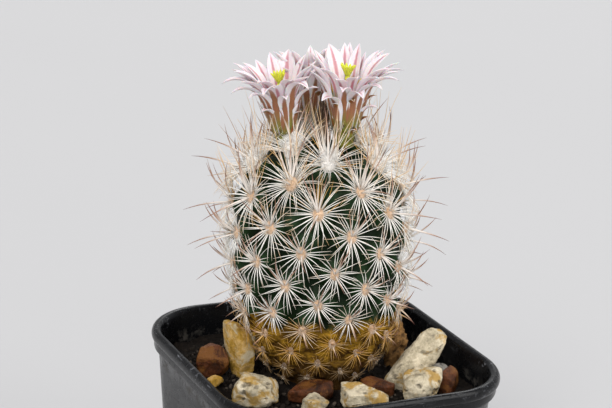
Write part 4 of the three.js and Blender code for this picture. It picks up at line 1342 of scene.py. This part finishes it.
def grit(settings, look, edge):
    """Loose grains on the soil: stubby crystals, each a column whose radius swells in the middle."""
    random = np.random.default_rng(83)
    count = settings.grains
    spot = random.uniform(-1, 1, (count * 2, 2)) * (edge - 1.2)
    inside = np.abs(spot).max(1) + 0.35 * np.abs(spot).min(1) < edge * 1.06
    free = np.linalg.norm(spot - STEM_FOOT[:2], axis=1) > GRIT_CLEARANCE
    spot = spot[inside & free][:count]
    count = len(spot)
    size = settings.grain_size / MM * random.uniform(0.3, 1.0, count) ** 1.5
    flat = np.concatenate([spot, np.full((count, 1), SOIL_TOP)], axis=1)
    ground = settings.unevenness / MM * lumps(flat, 5.0, 4) - 0.4
    heading = unit(random.normal(0, 1, (count, 3)) * (1, 1, 0.6))
    middle = flat + UP * (ground + 0.22 * size)[:, None]
    reach = np.array([-0.5, -0.22, 0.2, 0.5])
    paths = middle[:, None] + heading[:, None] * (reach[:, None] * size[:, None, None])
    radii = size[:, None] * np.array([0.18, 0.42, 0.4, 0.12]) * random.uniform(0.8, 1.15, (count, 4))
    points, faces = tubes(paths, radii, 5)
    bright = random.random(count) < PALE_GRIT_SHARE
    pale = spread(np.where(bright, random.uniform(0.4, 1, count), 0.1), 20)
    new_piece("grit_grains", points, faces, look, (), {"pale": pale})


def soil_finish(settings):
    """Dark crumbly mix, darker where it is damp, with paler mineral grains."""
    look = Finish("Potting Mix", roughness=0.9, specular_ior_level=0.12)
    crumb = look.noise(0.0012, 6, 0.7)
    patch = look.noise(0.012, 4)
    earth = look.shades(crumb, settings.earth, (0.3, 0.4), (0.5, 1), (0.72, 2.6))
    earth = look.mix(look.remap(patch, 0.4, 0.7, 0.0, 0.35), earth, scaled(settings.earth, 1.8))
    look.colour(look.mix(look.value("pale"), earth, look.mix(crumb, settings.grit, (0.2, 0.165, 0.13))))
    look.bump(crumb, 0.0012)
    return look


# Stones: node, look, place of the foot, length, depth and height, turn, lean, azimuth of the lean,
# and how sharp the edges are
STONES = [
    ("stone_ochre_tall", "ochre", (-20.4, 7.4), (9, 5.4, 16), -60, 12, 162, 9),
    ("shard_red_left", "red", (-28.7, 9.3), (9.2, 6, 8.6), -26, 8, 150, 12),
    ("stone_white_left", "cream", (-25.4, -11.2), (12.4, 9.6, 7.6), -24, 0, 0, 13),
    ("pebble_left", "ochre", (-31.5, 2.5), (4.2, 3.4, 2.8), 20, 0, 0, 6),
    ("shard_red_front", "red", (-10.4, -14.6), (12.6, 5.8, 4.8), -20, 12, 240, 16),
    ("stone_white_front", "cream", (-13.2, -22.6), (7, 6.6, 4.8), 10, 0, 0, 8),
    ("stone_white_middle", "cream", (1.9, -22.6), (13, 7.4, 5.4), -24, 0, 0, 14),
    ("shard_red_right", "red", (9.2, -16.2), (9.6, 5.4, 4.2), -30, 10, 250, 14),
    ("stone_white_leaning", "cream", (16.9, -13.6), (8.6, 7.4, 20), -26, 34, -26, 7),
    ("stone_cream_right", "cream", (19.4, -23.5), (11, 8, 7.9), -24, 0, 0, 8),
    ("shard_brown_right", "red", (28.8, -20), (6.2, 5.8, 7), 40, 12, -60, 12),
    ("pebble_grey_right", "grey", (31, -11.2), (6, 4.6, 3.6), -40, 0, 0, 7),
    ("chip_brown_tall", "brown", (22.8, 2.2), (6.4, 5.4, 12.5), 10, 14, -15, 8),
    ("chip_brown_small", "brown", (24.6, -5), (5.6, 4.6, 5.6), 50, 0, 0, 8),
    ("stone_white_back", "cream", (-7, 21.6), (12, 9, 8.2), 15, 0, 0, 9),
    ("shard_red_back", "red", (6.6, 22.4), (10, 7, 6), -35, 8, 60, 14),
    ("stone_ochre_back", "ochre", (17.4, 14.4), (9.6, 8, 7.6), 40, 0, 0, 9),
    ("pebble_back", "cream", (-0.6, 29.6), (5, 4.2, 3.4), 0, 0, 0, 6),
]
STONE_SUNK = 0.16
# Height of the lumps and depth of the pits, as shares of a stone's shortest side
STONE_ROUGHNESS = {"cream": (0.045, 0.035), "grey": (0.03, 0.03), "ochre": (0.035, 0.008),
                   "red": (0.02, 0.0), "brown": (0.2, 0.03)}


def stone(entry, index, finish):
    """An angular stone. In each direction its radius is that of a body cut by random planes, with the
    edges rounded by a power sum: the sum over planes of (cosine over distance) to the power p, to
    the power of minus one over p. Then it fills its box, gets lumps and pits, and leans."""
    name, look, place, size, yaw, lean, toward, sharp = entry
    random = np.random.default_rng(900 + index)
    rows, columns = 44, 64
    latitude = (np.pi * (np.arange(rows) + 0.5) / rows)[:, None]
    ray = polar(np.sin(latitude), circle(columns), -np.cos(latitude))
    planes = 15
    normals = unit(random.normal(0, 1, (planes, 3)))
    normals = np.concatenate([normals, np.eye(3), -np.eye(3)])
    distance = np.concatenate([random.uniform(0.72, 1.0, planes), random.uniform(0.86, 1.0, 6)])
    power = 2.2 * sharp
    radius = (np.maximum(ray @ normals.T / distance, 1e-6) ** power).sum(-1) ** (-1 / power)
    body = ray * radius[..., None]
    low, high = body.reshape(-1, 3).min(0), body.reshape(-1, 3).max(0)
    body = (body - (low + high) / 2) / (high - low)
    scale = np.array([size[0], size[1], size[2] * (1 + STONE_SUNK)])
    points = body * scale
    grain = min(size)
    rough, pitted = STONE_ROUGHNESS[look]
    bumps = lumps(points, 0.45 * grain, 3, index) + 0.45 * lumps(points, 0.13 * grain, 3, 3.0 + index)
    pits = smooth((lumps(points, 0.2 * grain, 2, 8.0 + index) - 0.55) / 0.3) * (pitted > 0.02)
    points = points + unit(points / scale) * (grain * (rough * bumps - pitted * pits))[..., None]
    points = points + UP * size[2] * (1 - STONE_SUNK) / 2
    points = points @ turn_about((0, 0, 1), math.radians(yaw)).T
    points = points @ tilt_toward(math.radians(toward), math.radians(lean)).T
    points = points + np.array([*place, SOIL_TOP + 0.3])
    floor = SOIL_TOP - 0.3
    points[..., 2] = np.maximum(points[..., 2], floor)
    values = {"pit": pits, "tone": np.full(pits.shape, random.random())}
    faces = ring_faces(1, rows, columns)
    new_piece(f"{name}_rough", points, faces, finish, [name], values)


def stone_finish(name, light, middle, dark, pit, stain, stain_share, shine=0.0):
    """Weathered stone: three tones by cloudy noise, a stain in patches, and dark pits."""
    look = Finish(name, roughness=0.85, specular_ior_level=0.22)
    cloud = look.noise(0.0042, 6, 0.62)
    fine = look.noise(0.0008, 6, 0.7)
    speck = look.noise(0.0016, 4, 0.7)
    tone = look.times(look.minus(look.value("tone"), 0.5), 0.12)
    cloud = look.plus(cloud, tone)
    body = look.ramp(look.calc("MULTIPLY_ADD", fine, 0.35, look.times(cloud, 0.65)),
                     [(0.36, dark), (0.47, middle), (0.58, light)])
    patch = look.plus(look.noise(0.0055, 5, 0.65, distortion=0.6), tone)
    stained = look.remap(patch, 0.62 - stain_share, 0.74 - stain_share)
    body = look.mix(look.times(stained, 0.85), body, stain)
    holes = look.larger(look.value("pit"), look.remap(speck, 0.64, 0.72))
    look.colour(look.mix(look.times(holes, 0.6), body, pit))
    look.gloss(look.remap(fine, 0.3, 0.7, 0.72 - shine, 0.95 - shine))
    look.bump(fine, 0.0005)
    look.bump(look.minus(cloud, holes), 0.0006, 0.8)
    return look


def make_stones(settings):
    """All the stones, shards, pebbles and chips, by look."""
    cream, ochre, red, brown = settings.cream, settings.ochre, settings.red, settings.brown
    looks = {
        "cream": stone_finish("Limestone", scaled(cream, 1.25, 0.1), cream, scaled(cream, 0.45),
                              (0.06, 0.045, 0.03), scaled(ochre, 1.0), 0.13),
        "grey": stone_finish("Grey Limestone", (0.4, 0.37, 0.33), (0.27, 0.25, 0.22), (0.14, 0.12, 0.1),
                             (0.05, 0.04, 0.03), scaled(ochre, 0.5), 0.0),
        "ochre": stone_finish("Ochre Stone", scaled(ochre, 1.25, 0.1), ochre, scaled(ochre, 0.55),
                              (0.16, 0.08, 0.025), scaled(cream, 1.1), 0.15),
        "red": stone_finish("Red Shale", scaled(red, 2.6, 0.006), red, scaled(red, 0.3),
                            (0.02, 0.01, 0.006), (0.17, 0.066, 0.014), 0.14, 0.35),
        "brown": stone_finish("Brown Chip", scaled(brown, 1.7), brown, scaled(brown, 0.3),
                              (0.02, 0.011, 0.006), scaled(red, 0.8), 0.03),
    }
    for index, entry in enumerate(STONES):
        stone(entry, index, looks[entry[1]])


# Stage: the camera aims at a point this far to its right of the pot's middle, at this height. Each
# light has its strength, its width in the sky, its azimuth and elevation in degrees, and its tint.
AIM_RIGHT = -7.03
AIM_HEIGHT = 116.37
LIGHTS = {
    "key_light": (2.35, 30, 226, 42, (1.0, 0.985, 0.96)),
    "fill_light": (1.35, 44, 306, 34, (1.0, 0.99, 0.98)),
    "back_light": (0.9, 30, 55, 45, (1, 1, 1)),
    "front_light": (0.75, 50, 258, 8, (1, 1, 1)),
}
ROOM_LIGHT = 0.42
BACKDROP_LIGHT = 0.73


def stand(made, right, up, back, place):
    """Turns a camera or a light to its right, up and backward directions, at a place in metres."""
    matrix = np.eye(4)
    matrix[:3] = np.stack([right, up, back, place], axis=1)
    made.matrix_world = matrix.T.tolist()


def make_camera(settings):
    """The camera at the photograph's viewing angle. It looks along its forward direction at a point
    beside the plant. Right and up are square to forward, and then rolled about it."""
    azimuth = math.pi / 2 - settings.yaw
    forward, right = outward(azimuth, -settings.pitch), -beside(azimuth)
    place = (AIM_RIGHT * right + AIM_HEIGHT * UP) * MM - forward * settings.distance
    up = np.cross(right, forward)
    lens = bpy.data.cameras.new("portrait_lens")
    lens.lens, lens.sensor_width = settings.lens, 36.0
    lens.clip_start, lens.clip_end = 0.01, 200.0
    camera = in_scene("portrait_camera", lens)
    roll = settings.roll
    stand(camera, between(right, up, roll), between(up, -right, roll), -forward, place)
    bpy.context.scene.camera = camera


def soft_sun(name, strength, width, azimuth, elevation, tint):
    """An even studio light from an azimuth and an elevation, as wide in the sky as an angle."""
    lamp = bpy.data.lights.new(name, "SUN")
    lamp.energy, lamp.angle, lamp.color = strength, math.radians(width), tint
    light = in_scene(name, lamp)
    away = outward(math.radians(azimuth), math.radians(elevation))
    right = unit(np.cross(UP, away))
    stand(light, right, np.cross(away, right), away, away)


def make_world(scene, power):
    """Soft light from all round, and a backdrop as pale as the floor for the camera."""
    world = bpy.data.worlds.new("soft_room")
    world.use_nodes = True
    tree = world.node_tree
    background = tree.nodes["Background"]
    background.inputs["Color"].default_value = (0.97, 0.98, 1.0, 1)
    rays = tree.nodes.new("ShaderNodeLightPath")
    blend = tree.nodes.new("ShaderNodeMapRange")
    blend.inputs["To Min"].default_value = ROOM_LIGHT * power
    blend.inputs["To Max"].default_value = BACKDROP_LIGHT * power
    tree.links.new(rays.outputs["Is Camera Ray"], blend.inputs["Value"])
    tree.links.new(blend.outputs["Result"], background.inputs["Strength"])
    scene.world = world


def make_floor(settings):
    """A broad plain floor, slightly uneven in tone."""
    look = Finish("Pale Floor", roughness=0.75, specular_ior_level=0.25)
    cloud = look.remap(look.noise(0.5, 3), 0.3, 0.7, 0.0, 0.12)
    look.colour(look.mix(cloud, settings.floor, scaled(settings.floor, 0.9)))
    mesh = bpy.data.meshes.new("studio_floor")
    reach = 40.0
    corners = [(-reach, -reach, 0), (reach, -reach, 0), (reach, reach, 0), (-reach, reach, 0)]
    mesh.from_pydata(corners, [], [(0, 1, 2, 3)])
    mesh.materials.append(look.material)
    floor = in_scene("studio_floor", mesh)


class CACTUS_OT_stage(bpy.types.Operator):
    """Add the camera, the soft lights and the floor"""
    bl_idname = "cactus.stage"
    bl_label = "Make Stage"

    def execute(self, context):
        settings = context.scene.cactus_stage
        make_camera(settings)
        make_floor(settings)
        power = settings.light
        for name, (strength, *rest) in LIGHTS.items():
            soft_sun(name, strength * power, *rest)
        make_world(context.scene, power)
        context.scene.view_settings.view_transform = "Standard"
        return {"FINISHED"}


class CACTUS_OT_pot(bpy.types.Operator):
    """Add the black plastic pot"""
    bl_idname = "cactus.pot"
    bl_label = "Make Pot"

    def execute(self, context):
        make_pot(context.scene.cactus_pot)
        return {"FINISHED"}


class CACTUS_OT_soil(bpy.types.Operator):
    """Add the potting mix and its grit"""
    bl_idname = "cactus.soil"
    bl_label = "Make Soil"

    def execute(self, context):
        make_soil(context.scene.cactus_soil)
        return {"FINISHED"}


class CACTUS_OT_stem(bpy.types.Operator):
    """Add the stem's skin and its felt cushions"""
    bl_idname = "cactus.stem"
    bl_label = "Make Stem"

    def execute(self, context):
        stem_skin(context.scene.cactus_stem)
        cushions(context.scene.cactus_stem)
        return {"FINISHED"}


class CACTUS_OT_spines(bpy.types.Operator):
    """Add the radial, central and crown spines and the crown's wool"""
    bl_idname = "cactus.spines"
    bl_label = "Make Spines"

    def execute(self, context):
        settings = context.scene.cactus_spines
        areoles = areole_places(context.scene.cactus_stem.areoles)
        for make in (radial_spines, central_spines, crown_spines, cushion_wool):
            make(settings, areoles)
        return {"FINISHED"}


class CACTUS_OT_flowers(bpy.types.Operator):
    """Add the three flowers and the withered one between them"""
    bl_idname = "cactus.flowers"
    bl_label = "Make Flowers"

    def execute(self, context):
        settings = context.scene.cactus_flowers
        for name in FLOWERS:
            for make in (flower_tube, outer_tepals, inner_tepals, stamens, pistil):
                make(name, settings)
        dried_remains(settings)
        return {"FINISHED"}


class CACTUS_OT_stones(bpy.types.Operator):
    """Add the loose stones, shards and chips"""
    bl_idname = "cactus.stones"
    bl_label = "Make Stones"

    def execute(self, context):
        make_stones(context.scene.cactus_stones)
        return {"FINISHED"}


GROUPS = {
    "cactus_stage": StageSettings, "cactus_pot": PotSettings, "cactus_soil": SoilSettings,
    "cactus_stem": StemSettings, "cactus_spines": SpineSettings, "cactus_flowers": FlowerSettings,
    "cactus_stones": StoneSettings,
}
OPERATORS = (CACTUS_OT_stage, CACTUS_OT_pot, CACTUS_OT_soil, CACTUS_OT_stem, CACTUS_OT_spines,
             CACTUS_OT_flowers, CACTUS_OT_stones)


class CACTUS_PT_panel(bpy.types.Panel):
    """Operators and settings of the potted cactus"""
    bl_idname = "CACTUS_PT_panel"
    bl_label = "Potted Cactus"
    bl_space_type = "VIEW_3D"
    bl_region_type = "UI"
    bl_category = "Cactus"

    def draw(self, context):
        for operator, (name, group) in zip(OPERATORS, GROUPS.items()):
            part = self.layout.box()
            part.operator(operator.bl_idname)
            for field in group.__annotations__:
                part.prop(getattr(context.scene, name), field)


def register():
    for cls in (*GROUPS.values(), *OPERATORS, CACTUS_PT_panel):
        bpy.utils.register_class(cls)
    for name, group in GROUPS.items():
        setattr(bpy.types.Scene, name, bpy.props.PointerProperty(type=group))


def unregister():
    for name in GROUPS:
        delattr(bpy.types.Scene, name)
    for cls in (CACTUS_PT_panel, *reversed(OPERATORS), *reversed(GROUPS.values())):
        bpy.utils.unregister_class(cls)


def main():
    register()
    bpy.ops.cactus.stage()
    bpy.ops.cactus.pot()
    bpy.ops.cactus.soil()
    bpy.ops.cactus.stem()
    bpy.ops.cactus.spines()
    bpy.ops.cactus.flowers()
    bpy.ops.cactus.stones()
    bpy.context.view_layer.update()


if __name__ == "__main__":
    main()
